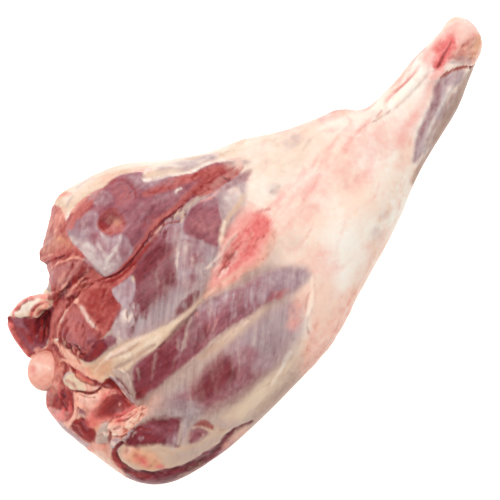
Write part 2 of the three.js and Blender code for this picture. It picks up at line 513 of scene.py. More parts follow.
def remeshed(shape: bmesh.types.BMesh, name: str, cell: float) -> bpy.types.Mesh:
    """An even mesh of quads round a shape.

    Args:
        shape: the shape, which is freed.
        name: of the new mesh.
        cell: side of a quad, in metres.
    Returns:
        The mesh.
    """
    rough = bpy.data.meshes.new(name + "_rough")
    shape.to_mesh(rough)
    shape.free()
    holder = bpy.data.objects.new(name + "_rough", rough)
    bpy.context.scene.collection.objects.link(holder)
    modifier = holder.modifiers.new("even", "REMESH")
    modifier.mode = "VOXEL"
    modifier.voxel_size = cell
    graph = bpy.context.evaluated_depsgraph_get()
    even = bpy.data.meshes.new_from_object(holder.evaluated_get(graph))
    even.name = name
    bpy.data.objects.remove(holder)
    bpy.data.meshes.remove(rough)
    return even


def smoothed(shape: bmesh.types.BMesh, times: int) -> None:
    """Evens out a shape's vertices a number of times."""
    for _ in range(times):
        bmesh.ops.smooth_vert(
            shape, verts=shape.verts, factor=0.5, use_axis_x=True, use_axis_y=True, use_axis_z=True
        )


def cut_off(shape: bmesh.types.BMesh, at: float, inner: bool) -> None:
    """Cuts a shape across X and closes the cut.

    Args:
        shape: the shape.
        at: where it is cut, in metres along X.
        inner: whether the part before the cut goes, or else the part past it.
    """
    whole = list(shape.verts) + list(shape.edges) + list(shape.faces)
    bmesh.ops.bisect_plane(
        shape, geom=whole, plane_co=(at, 0, 0), plane_no=(1, 0, 0), clear_inner=inner, clear_outer=not inner
    )
    bmesh.ops.holes_fill(shape, edges=shape.edges)


def laid(shape: bmesh.types.BMesh, ground: BVHTree, rolls: list[Roll]) -> None:
    """Lays rolls on a shape as overlapping balls, which the even mesh then joins.

    Args:
        shape: the shape, in metres.
        ground: everything that the rolls may lie on.
        rolls: what is laid.
    """
    spacing = 0.5
    for roll in rolls:
        points = rounded(roll.route, False) if len(roll.route) > 1 else np.array(roll.route, float)
        for start, end in zip(points, np.vstack([points[1:], points[-1:]])):
            steps = max(1, math.ceil(np.linalg.norm(end - start) / (spacing * roll.radius)))
            for place in (start + (end - start) * step / steps for step in range(steps)):
                hit = ground.ray_cast(Vector((*place, REACH)) * MM, Vector((0, 0, -1)))[0]
                if hit is None:
                    continue
                centre = Vector((*place, hit.z / MM + roll.rise - roll.thick))
                size = Matrix.Diagonal((roll.radius, roll.radius, roll.thick, 1))
                bmesh.ops.create_icosphere(
                    shape, subdivisions=2, radius=MM, matrix=Matrix.Translation(centre * MM) @ size
                )


def piece(mesh: bpy.types.Mesh, material: bpy.types.Material) -> bpy.types.Object:
    """A finished piece that rides with the leg.

    Args:
        mesh: its mesh, in place.
        material: its finish.
    Returns:
        The object.
    """
    mesh.shade_smooth()
    mesh.materials.clear()
    mesh.materials.append(material)
    made = bpy.data.objects.new(mesh.name, mesh)
    bpy.context.scene.collection.objects.link(made)
    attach(made, "root")
    log.info("%s: %d faces", made.name, len(mesh.polygons))
    return made


# ---- materials ----
class Wire:
    """A number socket of a material that takes part in arithmetic."""

    def __init__(self, recipe: "Recipe", socket: bpy.types.NodeSocket) -> None:
        """Wraps a socket of a recipe's node."""
        self.recipe = recipe
        self.socket = socket

    def __add__(self, other: "Wire | float") -> "Wire":
        """Sum."""
        return self.recipe.sum("ADD", self, other)

    def __sub__(self, other: "Wire | float") -> "Wire":
        """Difference."""
        return self.recipe.sum("SUBTRACT", self, other)

    def __rsub__(self, other: float) -> "Wire":
        """Difference from a number."""
        return self.recipe.sum("SUBTRACT", other, self)

    def __mul__(self, other: "Wire | float") -> "Wire":
        """Product."""
        return self.recipe.sum("MULTIPLY", self, other)

    def __truediv__(self, other: "Wire | float") -> "Wire":
        """Quotient."""
        return self.recipe.sum("DIVIDE", self, other)

    def clamped(self) -> "Wire":
        """The number kept from 0 to 1."""
        return self.recipe.sum("ADD", self, 0.0, use_clamp=True)


class Recipe:
    """A material that is written as expressions.

    A cell of the noise texture is `CELL` times as wide as the blobs in it.
    """

    CELL = 2.2

    def __init__(self, name: str) -> None:
        """Starts an empty material."""
        self.material = bpy.data.materials.new(name)
        self.material.use_nodes = True
        self.tree = self.material.node_tree
        self.tree.nodes.clear()
        self.places = self.node("ShaderNodeTexCoord").outputs["Object"]

    def node(
        self,
        kind: str,
        settings: dict[str, object] | None = None,
        inputs: dict[str | int, object] | None = None,
    ) -> bpy.types.Node:
        """Adds a node.

        Args:
            kind: the node's type.
            settings: what is set on it first.
            inputs: values or links of its sockets, by name or number.
        Returns:
            The node.
        """
        made = self.tree.nodes.new(kind)
        for name, value in (settings or {}).items():
            setattr(made, name, value)
        for name, value in (inputs or {}).items():
            if isinstance(value, Wire):
                value = value.socket
            if isinstance(value, bpy.types.NodeSocket):
                self.tree.links.new(value, made.inputs[name])
            else:
                made.inputs[name].default_value = value
        return made

    def sum(self, operation: str, a: Wire | float, b: Wire | float, use_clamp: bool = False) -> Wire:
        """Adds a Math node."""
        settings = {"operation": operation, "use_clamp": use_clamp}
        return Wire(self, self.node("ShaderNodeMath", settings, {0: a, 1: b}).outputs[0])

    def share(self, name: str) -> Wire:
        """The mesh attribute of that name."""
        return Wire(self, self.node("ShaderNodeAttribute", {"attribute_name": name}).outputs["Fac"])

    def mixed(self, share: Wire | float, a: object, b: object) -> bpy.types.NodeSocket:
        """A colour from a to b."""
        made = self.node("ShaderNodeMix", {"data_type": "RGBA"}, {0: share, 6: a, 7: b})
        return made.outputs[2]

    def scaled(self, colour: bpy.types.NodeSocket, share: Wire) -> bpy.types.NodeSocket:
        """A colour times a number."""
        return self.node("ShaderNodeVectorMath", {"operation": "SCALE"}, {0: colour, 3: share}).outputs[0]

    def tinted(self, colour: bpy.types.NodeSocket, tint: Triple) -> bpy.types.NodeSocket:
        """A colour times another."""
        return self.node("ShaderNodeVectorMath", {"operation": "MULTIPLY"}, {0: colour, 1: tint}).outputs[0]

    def joined(self, a: bpy.types.NodeSocket, b: bpy.types.NodeSocket) -> bpy.types.NodeSocket:
        """The sum of two colours."""
        return self.node("ShaderNodeVectorMath", {"operation": "ADD"}, {0: a, 1: b}).outputs[0]

    def grain(self, size: float, detail: float, stretch: Triple = (1, 1, 1), turn: float = 0.0) -> list[Wire]:
        """Three unlike noises over the surface, each about -0.5 to 0.5.

        Args:
            size: of a blob, in millimetres.
            detail: how many finer layers it has.
            stretch: how many times longer the blobs are along each axis.
            turn: of the long axis about Z, in degrees.
        Returns:
            The three noises.
        """
        scale = [1 / (size * MM * self.CELL * s) for s in stretch]
        turned = self.node(
            "ShaderNodeMapping",
            {"vector_type": "POINT"},
            {"Vector": self.places, "Rotation": (0, 0, -math.radians(turn))},
        )
        spread = self.node("ShaderNodeMapping", None, {"Vector": turned.outputs[0], "Scale": scale})
        inputs = {"Vector": spread.outputs[0], "Scale": 1.0, "Detail": detail}
        noise = self.node("ShaderNodeTexNoise", None, inputs)
        split = self.node("ShaderNodeSeparateColor", None, {0: noise.outputs["Color"]})
        return [Wire(self, channel) - 0.5 for channel in split.outputs[:3]]


class FleshFinish:
    """The finish of everything on the leg: tissues side by side, each with its own mottling and moisture.

    `FINE` to `STRAND` are noises: the size of a blob in millimetres, its finer layers, stretch and turn.
    `FIBRED` and `STRANDED` say how far a tissue shows fibres or strands, and `BROAD` which are blotched.
    `HOLLOW_SHADE_TINT` and `RIDGE_HIGHLIGHT_TINT` are painted shade in crevices and painted highlight on
    ridges, laid on by the shares `DARKENED` and `LIGHTENED`. `WEIGHTS` mix the channels of a noise, and
    `RELIEF` the fibres, the strands and two noises that stand up. `EDGE` is how far noise moves a tissue's
    edge, `CALMED` how much of it is left where strands or blotches take over.
    """

    FINE = (1.6, 3.0)
    MIDDLE = (6.0, 2.0)
    WIDE = (22.0, 1.0)
    FIBRE = (1.2, 2.0, (9, 1, 1), -4)
    STRAND = (1.3, 2.0, (10, 1, 1.5), 40)
    RELIEF = (0.35, 0.3, 0.7, 0.5)
    # how strongly the painted shade and the painted highlight are laid on
    DARKENED, LIGHTENED = 0.8, -0.6
    MOTTLING, BLOTCHES = 1.5, 2.6
    FIBRE_TONE, STRAND_TONE = 1.5, 1.8
    EDGE, SHARPEST, CALMED = 0.8, 4, (0.5, 0.6)
    LEAST = 0.0001
    WEIGHTS = ((0.9, 0.3, -0.4), (-0.4, 0.9, 0.3), (0.3, -0.4, 0.9), (-0.7, 0.6, -0.5), (0.6, -0.6, -0.6))
    FIBRED = {MAUVE: 1.0, LEAN: 1.0, BRICK: 0.8, CUT: 0.7}
    STRANDED = {SILVER: 0.6, FELL: 0.22, ASH: 0.22}
    BROAD = (PALE_AND_HIGHLIGHT, FELL, CREAM)
    # the tints of the painted shade in crevices and of the painted highlight on ridges
    HOLLOW_SHADE_TINT = (0.55, 0.30, 0.28)
    RIDGE_HIGHLIGHT_TINT = (1.12, 1.2, 1.2)

    def __init__(self, name: str) -> None:
        """Writes the material."""
        self.recipe = Recipe(name)
        recipe = self.recipe
        self.fine = recipe.grain(*self.FINE)
        self.middle = recipe.grain(*self.MIDDLE)
        self.broad = recipe.grain(*self.WIDE)
        self.fibre = recipe.grain(*self.FIBRE)[0]
        self.strand = recipe.grain(*self.STRAND)[0]
        shares = {tissue: recipe.share(tissue.value) for tissue in Tissue}
        drawn = {tissue: self.drawn(number, tissue, shares[tissue]) for number, tissue in enumerate(Tissue)}
        whole = self.total(drawn.values()) + self.LEAST
        colour = None
        for number, tissue in enumerate(Tissue):
            part = recipe.scaled(self.mottled(number, tissue), drawn[tissue] / whole)
            colour = part if colour is None else recipe.joined(colour, part)
        # painted shade in crevices and painted highlight on ridges, from how hollow the surface is
        hollow = recipe.share(HOLLOW)
        for share, tint in ((self.DARKENED, self.HOLLOW_SHADE_TINT), (self.LIGHTENED, self.RIDGE_HIGHLIGHT_TINT)):
            colour = recipe.mixed((hollow * share).clamped(), colour, recipe.tinted(colour, tint))
        roughness = self.total(drawn[t] * FINISHES[t].roughness for t in Tissue) / whole + self.fine[0] * 0.15
        wet = self.total(drawn[t] * FINISHES[t].wet for t in Tissue) / whole
        fibred = self.total(shares[t] * how for t, how in self.FIBRED.items())
        stranded = self.total(shares[t] * how for t, how in self.STRANDED.items())
        heights = (self.fibre * fibred, self.strand * stranded, self.fine[1], self.middle[2])
        relief = self.total(height * how for height, how in zip(heights, self.RELIEF))
        bump = recipe.node("ShaderNodeBump", None, {"Strength": 0.6, "Distance": 0.0012, "Height": relief})
        shader = recipe.node(
            "ShaderNodeBsdfPrincipled",
            {"subsurface_method": "RANDOM_WALK"},
            {
                "Base Color": colour,
                "Roughness": roughness.clamped(),
                "Coat Weight": wet.clamped(),
                "Coat Roughness": 0.22,
                "Specular IOR Level": 0.12,
                "Subsurface Weight": 0.12,
                "Subsurface Radius": (1.0, 0.35, 0.25),
                "Subsurface Scale": 0.004,
                "Normal": bump.outputs[0],
            },
        )
        recipe.node("ShaderNodeOutputMaterial", None, {"Surface": shader.outputs[0]})

    @property
    def material(self) -> bpy.types.Material:
        """The material."""
        return self.recipe.material

    def total(self, wires: Iterable[Wire]) -> Wire:
        """The sum of several numbers."""
        result = None
        for wire in wires:
            result = wire if result is None else result + wire
        return result

    def own_noise(self, number: int, layer: list[Wire], turn: int) -> Wire:
        """A noise of a tissue's own, from three shared ones."""
        weights = self.WEIGHTS[(number + turn) % len(self.WEIGHTS)]
        return self.total(channel * weight for channel, weight in zip(layer, weights))

    def drawn(self, number: int, tissue: Tissue, share: Wire) -> Wire:
        """A tissue's share with its edge broken up and sharpened."""
        finish = FINISHES[tissue]
        between = share * (1 - share) * self.SHARPEST
        noise = self.own_noise(number, self.fine, 0) + self.own_noise(number, self.middle, 2)
        if tissue in self.STRANDED:
            noise = noise * self.CALMED[0] + self.strand * self.STRAND_TONE * self.STRANDED[tissue]
        moved = share - 0.5 + noise * between * self.EDGE
        return (moved * finish.gain + 0.5).clamped()

    def mottled(self, number: int, tissue: Tissue) -> bpy.types.NodeSocket:
        """A tissue's colour with its mottling."""
        finish = FINISHES[tissue]
        noise = self.own_noise(number, self.middle, 1) * self.MOTTLING
        noise = noise + self.own_noise(number, self.fine, 3) * self.MOTTLING
        if tissue in self.BROAD:
            noise = noise * self.CALMED[1] + self.own_noise(number, self.broad, 4) * self.BLOTCHES
        if tissue in self.FIBRED:
            noise = noise + self.fibre * self.FIBRE_TONE
        if tissue in self.STRANDED:
            noise = noise + self.strand * self.STRAND_TONE
        share = (noise + 0.5).clamped()
        return self.recipe.mixed(share, (*finish.dark, 1.0), (*finish.light, 1.0))


# ---- the leg ----
REACH = 300
EVERYWHERE: Route = pairs((-REACH, -REACH, REACH, -REACH, REACH, REACH, -REACH, REACH))
FINE_AREAS: list[Route] = [
    pairs(
        (-200, -52, -200, 74, -128, 74, -124, 88, -98, 92, -96, 42, -96, 28, -122, 6, -140, -30, -146, -50)
    ),
    pairs((-98, 30, -98, 42, -60, 44, -20, 44, 24, 32, 24, 22, -20, 30, -60, 30)),
    pairs((148, -24, 148, -12, 162, -8, 178, -8, 178, -16, 162, -20)),
]
# what is creased, what shows along the creases, their noise, depth in millimetres, and paint
# the darker tissues along the sunk creases stand partly for the shade in them
CREASES: list[tuple[Tissue, Tissue, Ripple, float, float]] = [
    (PEACH, BRICK, Ripple(51, 4.5), 0.4, 0.45),
    (CREAM, TAN, Ripple(52, 7.0, (2, 1, 1)), 0.3, 0.3),
    (CUT, BRICK, Ripple(53, 3.6), 0.25, 0.5),
    (BRICK, CREVICE_SHADE, Ripple(54, 4.2), 0.3, 0.35),
    (LEAN, MAUVE, Ripple(55, 2.6, (6, 1, 1), -4), -0.12, 0.4),
    (MAUVE, SILVER, Ripple(56, 4.4, (8, 1, 1), 30), -0.12, 0.22),
    (FELL, CREAM, Ripple(57, 6.0, (8, 1, 1), 38), -0.1, 0.12),
    (SILVER, PALE_AND_HIGHLIGHT, Ripple(58, 5.0, (7, 1, 1), 40), -0.15, 0.06),
    (PALE_AND_HIGHLIGHT, BLUSH, Ripple(59, 13.0, (3, 1, 1), 8), 0.2, 0.35),
]
# what is rough, its noise, and how high that stands in millimetres
RELIEFS: list[tuple[Tissue, Ripple, float]] = [
    (MAUVE, Ripple(31, 3.0, (5, 1, 1)), 0.12),
    (LEAN, Ripple(32, 3.0, (4, 1, 1)), 0.15),
    (CUT, Ripple(33, 2.6), 0.3),
    (PEACH, Ripple(34, 4.0), 0.6),
    (CREAM, Ripple(35, 6.0, (2, 1, 1)), 0.4),
]


@dataclass
class Haunch:
    """The meat of the whole leg: thigh, rump flap, knee, shank and hock in one piece.

    Args:
        cell: side of the even mesh's quads, in metres.
        plug_from: where the bone's channel is closed, in metres along X.
        upper: the least upward part of the normal of the faces that are halved once.
        fine: the same for those in the fine areas, which are halved again.
        rounds: how often the vertices are evened out after each step.
        seed: of the noise in the marks.
    """

    cell: float = 0.0029
    plug_from: float = -0.158
    upper: float = -0.1
    fine: float = 0.1
    rounds: int = 3
    seed: int = 7

    def build(self, finish: FleshFinish) -> bpy.types.Object:
        """Makes the piece."""
        mesh = self.body()
        carving = Carving(mesh, PALE_AND_HIGHLIGHT, self.seed)
        for marks in ALL_MARKS:
            carving.apply(marks)
        for crease in CREASES:
            carving.crease(*crease)
        for relief in RELIEFS:
            carving.roughen(*relief)
        carving.settle()
        made = piece(mesh, finish.material)
        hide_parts("meat")
        return made

    def body(self) -> bpy.types.Mesh:
        """The leg's form with the bone's channel closed, finer where the cut and the muscles show."""
        shape = cad_copy("meat")
        plug = cad_copy("thigh_bone")
        cut_off(plug, self.plug_from, inner=True)
        filler = bpy.data.meshes.new("plug")
        plug.to_mesh(filler)
        plug.free()
        shape.from_mesh(filler)
        bpy.data.meshes.remove(filler)
        both = cad_copy("meat")
        both.from_mesh(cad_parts["thigh_bone"].data)
        laid(shape, BVHTree.FromBMesh(both), FOLDS)
        both.free()
        even = remeshed(shape, "leg_meat", self.cell)
        fine = bmesh.new()
        fine.from_mesh(even)
        smoothed(fine, self.rounds)
        fine.normal_update()
        self.refine(fine, EVERYWHERE, self.upper)
        smoothed(fine, self.rounds)
        for area in FINE_AREAS:
            self.refine(fine, area, self.fine)
        smoothed(fine, self.rounds)
        fine.to_mesh(even)
        fine.free()
        even.update()
        return even

    def refine(self, shape: bmesh.types.BMesh, area: Route, facing: float) -> None:
        """Halves the quads inside an outline.

        Args:
            shape: the shape.
            area: the outline in plan, in millimetres.
            facing: the least upward part of a face's normal.
        """
        shape.faces.ensure_lookup_table()
        centres = np.array([face.calc_center_median()[:2] for face in shape.faces]) / MM
        within = inside(np.array(area, float), centres)
        chosen = [shape.faces[number] for number in np.nonzero(within)[0]]
        edges = {edge for face in chosen if face.normal.z > facing for edge in face.edges}
        bmesh.ops.subdivide_edges(shape, edges=list(edges), cuts=1, use_grid_fill=True)
        shape.normal_update()


@dataclass
class HipBall:
    """The ball of the thigh bone that shows at the hip cut, with its neck.

    Args:
        cell: side of the even mesh's quads, in metres.
        keep_to: the bone is cut off here, inside the meat, in metres along X.
        rounds: how often the vertices are evened out.
        seed: of the noise in the marks.
    """

    cell: float = 0.0009
    keep_to: float = -0.150
    rounds: int = 10
    seed: int = 19

    def build(self, finish: FleshFinish) -> bpy.types.Object:
        """Makes the piece."""
        shape = cad_copy("thigh_bone")
        cut_off(shape, self.keep_to, inner=False)
        mesh = remeshed(shape, "hip_ball", self.cell)
        smooth = bmesh.new()
        smooth.from_mesh(mesh)
        smoothed(smooth, self.rounds)
        smooth.to_mesh(mesh)
        smooth.free()
        carving = Carving(mesh, PEACH, self.seed)
        carving.apply(BALL)
        carving.settle()
        made = piece(mesh, finish.material)
        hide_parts("thigh_bone")
        return made


# ---- marks on the leg, in plan ----
# The folds and lumps that stand out from the leg's plain form
FOLDS: list[Roll] = [
    roll(5, 2.6, 7, -157, 33, -158, 26, -162, 21, -168, 16.5, -175, 12.5, -181, 9, -186, 3),
    roll(3.2, 1.8, 4, -155, 31, -154, 20, -154, 10, -152, 0, -148, -6),
    roll(4.5, 2.2, 5, -163, 9, -162, 2),
    roll(2.6, 1.6, 4, -157, 8, -155, 0, -152, -7),
    roll(5, 2.6, 6, -168, -9, -162, -10, -156, -14),
    roll(4.2, 1.8, 5, -178, -36, -172, -33, -167, -30),
    roll(3.8, 2.4, 5, -166, -38, -158, -37, -150, -39, -145, -41),
    roll(3, 1.6, 4, -174, -43),
    roll(2.6, 1.4, 4, -162, -46, -154, -46),
    roll(2.4, 3, 5, -143, -11, -143.5, -20, -145.5, -31),
    roll(2.4, 2, 4, -138.5, -10, -138, -17, -141, -26),
    roll(3.6, 1, 4, -148, -3, -132, -4, -120, -8, -106, -11, -92, -14.5, -78, -17),
    roll(3, 1, 5, -86, 97, -80, 97),
    roll(2.6, 1.8, 4, -172, 38, -170.5, 50, -167, 60, -164, 65),
    roll(4, 1.8, 5, -158, 61.5, -151, 61.5, -144.5, 58.5),
    roll(2.4, 1.6, 4, -152, 55, -144, 55.5, -139, 54),
    roll(2.4, 1.6, 4, -150, 31, -147, 36.5, -141, 39.5, -133, 41),
    roll(11, 1.6, 8, -140, 26, -136, 20),
    roll(3.4, 1.8, 4, -152, 36, -146, 42, -138, 46, -130, 47, -120, 47),
    roll(2.4, 2, 4, -124.5, 41),
    roll(1.8, 1, 3, -125, 40, -125, 32, -127, 22, -128.5, 15),
    roll(3.2, 1.4, 4, -148, 8, -140, 7, -131, 5, -125, 7),
    roll(8, 1.6, 6, -128, 56, -118, 58, -108, 58),
    roll(6, 2, 6, -126, 78, -116, 77, -106, 76),
    roll(4.5, 1, 5, -100, 46, -86, 43, -66, 43, -40, 44, -10, 42),
    roll(4, 0.6, 4, -86, 30, -60, 31, -30, 31, 0, 29),
    roll(3.5, 1.2, 4, 84, 12, 91, 9, 95, 3),
    roll(3.6, 1.6, 4, 112, -14, 124, -14, 140, -13, 150, -12),
    roll(2.6, 1.2, 4, 116, -46, 134, -40, 150, -35),
    roll(4, 1.4, 5, 150, -7, 162, -6, 176, -6),
    roll(3.4, 1.2, 4, 154, -21, 166, -19, 178, -18),
    roll(3, 1.4, 4, 146, -20, 152, -21),
    roll(3.6, 1, 4, 176, -30, 184, -26, 188, -20),
]


# The pit and the flushes of the ball's cartilage, with painted light in its middle, a painted glint, and
# painted shade at its lower left
BALL: list[Mark] = [
    # painted light: the ball's middle drawn lighter
    patch(PALE_AND_HIGHLIGHT, 9, 0.25, -178, 34, -168, 35, -160, 30, -164, 20, -174, 18, -180, 26),
    patch(BLUSH, 5, 0.4, -176, 38, -164, 38, -158, 32, -164, 31, -172, 34),
    patch(BLUSH, 8, 0.4, -190, 28, -182, 20, -172, 14, -160, 20, -158, 8, -176, 4, -190, 12),
    spot(BLOOD, 3, 6, 0.5, -178.5, 29, lift=-0.4),
    # painted glint
    spot(PALE_AND_HIGHLIGHT, 0.8, 1.6, 0.8, -169.5, 22),
    line(CUT, 1.2, 3, 0.6, -184, 14, -176, 13, -168, 17, -160, 25),
    # painted shade at the ball's lower left
    line(TAN, 2, 5, 0.3, -185, 20, -182, 15, -176, 13),
]


# The outer side that the leg lies on, under its fat cover
OUTER_SIDE: list[Mark] = [
    patch(CREAM, 30, 0.6, -200, -110, -200, 110, 60, 110, 90, -110, ragged=6, side=Side.UNDER),
    patch(MAUVE, 16, 0.5, -150, -60, -150, 40, -90, 60, -50, 40, -70, -30, -110, -70, ragged=8,
        side=Side.UNDER),
]


# The broad areas that the finer marks lie on
GROUNDS: list[Mark] = [
    patch(FELL, 22, 1, -210, -120, -210, 70, -100, 70, -24, 50, 6, 26, -6, 6, -16, -20, -12, -50, -40, -76,
        -54, -120, ragged=1),
    patch(CREAM, 8, 0.5, -140, -82, -100, -84, -60, -86, -30, -80, -44, -96, -100, -96, -136, -90),
    # the tan band along the lower edge is partly painted shade of the side turned away from the lamp
    patch(TAN, 6, 0.6, -140, -90, -100, -94, -40, -96, 0, -93.5, 50, -81, 110, -59, 160, -43, 160, -60, 0,
        -120, -140, -120, patchy=0.05),
]


# The muscle of the front of the thigh, above the seam
FRONT_THIGH: list[Mark] = [
    patch(CREAM, 3, 0.8, -94, 106, -60, 108, -30, 96, 0, 68, 34, 54, 28, 30, 6, 42, -20, 55, -40, 68, -50, 79,
        -60, 83, -76, 86, -92, 86),
    patch(PALE_AND_HIGHLIGHT, 6, 0.75, -88, 91, -66, 91, -50, 84, -36, 73, -20, 61, 0, 51, 24, 37, 30, 50, 0, 66, -40, 92,
        -70, 102),
    patch(BLUSH, 5, 0.2, -60, 86, -48, 80, -36, 70, -20, 60, -6, 52, -20, 66, -44, 84),
    patch(AMBER, 6, 0.25, -62, 88, -48, 84, -38, 76, -44, 76, -58, 84),
    patch(MAUVE, 1.6, 1, -102, 38, -102, 76, -93, 80, -84, 82, -72, 83, -60, 83, -50, 81, -42, 77, -32, 69.5,
        -38, 66, -33, 60, -20, 54, -9, 46, 4, 41, 14, 35, 20, 28, 22, 23, 10, 30, 0, 32, -20, 35, -40, 36,
        -60, 36, -85, 34, ragged=0.4, lift=0.6),
    patch(LEAN, 14, 0.18, -72, 52, -50, 50, -36, 46, -44, 40, -70, 40),
    patch(SILVER, 5, 0.45, -44, 76, -38, 72, -36, 66, -30, 60, -20, 54, -26, 53, -38, 58, -43, 66),
    patch(SILVER, 9, 0.25, -40, 52, -26, 50, -22, 46, -34, 44, -42, 47),
    patch(BRICK, 8, 0.3, -70, 46, -60, 50, -40, 46, -30, 41, -60, 38),
    # the round muscle head and the dark outline to its right
    patch(CUT, 7, 0.35, -60, 62, -50, 60, -45, 66, -46, 74, -54, 80, -60, 74),
    line(BRICK, 1.2, 3, 0.55, -60, 82, -53, 81, -47.5, 77, -44.5, 71, -45, 64, -49, 60, lift=-0.4),
    # silverskin over its left half
    patch(SILVER, 3, 0.85, -101, 38, -100, 75, -92, 79, -84, 78, -77, 77, -73, 72, -79, 66, -80, 58, -77, 53,
        -72, 51, -72, 44, -74, 37, -85, 36, -95, 37, lift=0.4, patchy=0.2),
    patch(MAUVE, 6, 0.55, -92, 78, -80, 78, -74, 72, -80, 66, -88, 70),
    patch(MAUVE, 10, 0.42, -92, 66, -79, 66, -76, 52, -76, 39, -90, 42, patchy=0.3),
    patch(MAUVE, 6, 0.35, -84, 47, -74, 48, -73, 38, -84, 38),
    patch(PALE_AND_HIGHLIGHT, 5, 0.15, -100, 46, -92, 46, -86, 42, -92, 38.5, -99, 40, patchy=0.3),
    # painted highlight running down the silverskin
    line(PALE_AND_HIGHLIGHT, 1.8, 4, 0.3, -95, 64, -93, 60, -93, 55, lift=0.3),
    patch(PALE_AND_HIGHLIGHT, 5, 0.3, -101, 42, -100.5, 74, -96, 75, -94, 60, -94, 44),
    line(PALE_AND_HIGHLIGHT, 0.9, 2.2, 0.45, -96, 44, -90, 47.5, -80, 47, -73, 50.5, lift=0.3),
    # the brown-red oval
    patch(CUT, 3, 0.85, -80, 66, -76, 70, -66, 70, -62, 65, -62.5, 58, -65, 52.5, -71, 51, -76, 53, -79, 58,
        lift=-0.4),
    patch(LEAN, 3.5, 0.75, -79, 64, -75, 69.5, -65, 69.5, -62.5, 64, -64, 57, -68, 61, -75, 60),
    patch(TAN, 4, 0.2, -72, 66, -65, 66, -65, 57, -70, 55, -73, 60),
    patch(AMBER, 2.5, 0.35, -70, 62, -66, 61, -66, 57, -69.5, 56.5),
    patch(BRICK, 5, 0.35, -79, 66, -72, 70, -64, 69, -63, 62, -70, 60, -78, 60, patchy=0.5),
    line(BRICK, 0.9, 2, 0.5, -77, 62, -77, 57, -74, 53.5),
    # red meat over the silverskin
    patch(CUT, 2.4, 0.9, -99, 83, -90, 84, -84, 85, -76, 86.5, -68, 84.5, -60, 83, -58, 80.5, -68, 80, -73,
        77, -82, 77, -88, 77, -94, 77, ragged=0.7, lift=0.5),
    line(PEACH, 1.4, 2.6, 0.45, -86, 83, -79, 85, -72, 84.5),
    line(BRICK, 0.9, 2, 0.4, -86, 78, -78, 78, -73, 77.4),
    patch(SILVER, 2.5, 0.35, -71, 80, -64, 81, -60, 78, -60, 73, -64, 71, -70, 74),
    line(SILVER, 0.9, 1.8, 0.6, -72, 81, -65, 82, -60, 80.5, -59.5, 76, -61, 71, lift=0.3),
    # red meat that runs out to the right, between two pale fasciae
    line(CUT, 2.4, 4, 0.85, -43, 58, -34, 54, -26, 52, -18, 49.5, -10, 44, -2, 39, 6, 36),
    line(BRICK, 0.9, 2.4, 0.5, -41, 57, -33, 53, -25, 51, -17, 48, -9, 43),
    line(CUT, 1.8, 4, 0.6, -32, 51, -22, 48.5, -12, 43, 0, 38, 12, 33),
    line(CUT, 2.4, 5, 0.6, -72, 38, -50, 39.5, -30, 40, -12, 39, 0, 37, 10, 34),
    line(PALE_AND_HIGHLIGHT, 0.7, 1.2, 0.8, -28, 46, -25, 46.2, -21.5, 45, lift=0.5),
    patch(PALE_AND_HIGHLIGHT, 2.4, 0.75, -38.5, 66.5, -35, 68.5, -28, 66, -18, 60.5, -8, 51.5, 2, 45, 10, 40.5, 10, 46, 0,
        53, -14, 63, -26, 70, -33, 70.5, lift=0.4),
    patch(SILVER, 5, 0.6, -30, 65, -18, 57, -6, 47.5, 8, 40.5, 10, 45, -4, 54.5, -18, 64, patchy=0.2),
    line(PALE_AND_HIGHLIGHT, 1.1, 1.6, 0.8, -37.5, 66, -35.5, 64.2, -33.5, 62.8, lift=0.4),
    line(CREAM, 1, 2.4, 0.5, -58, 90, -42, 80, -28, 70, -10, 57.5, 2, 50, lift=0.3),
    line(SILVER, 1, 2.5, 0.5, -86, 89.5, -81, 92, -76, 92),
    line(SILVER, 0.9, 2.2, 0.45, -71, 94, -65, 93.5, -58, 91),
    *threads(SILVER, 41, 22, -8, 14, 0.8, 2.2, 0.15, -70, 40, -60, 78, -46, 76, -20, 48, -20, 40),
    *threads(LEAN, 42, 18, -8, 12, 0.9, 2.5, 0.25, -68, 42, -58, 70, -46, 66, -16, 44),
    *threads(PALE_AND_HIGHLIGHT, 50, 12, 70, 8, 0.8, 2.4, 0.15, -98, 42, -98, 72, -84, 74, -76, 44),
]


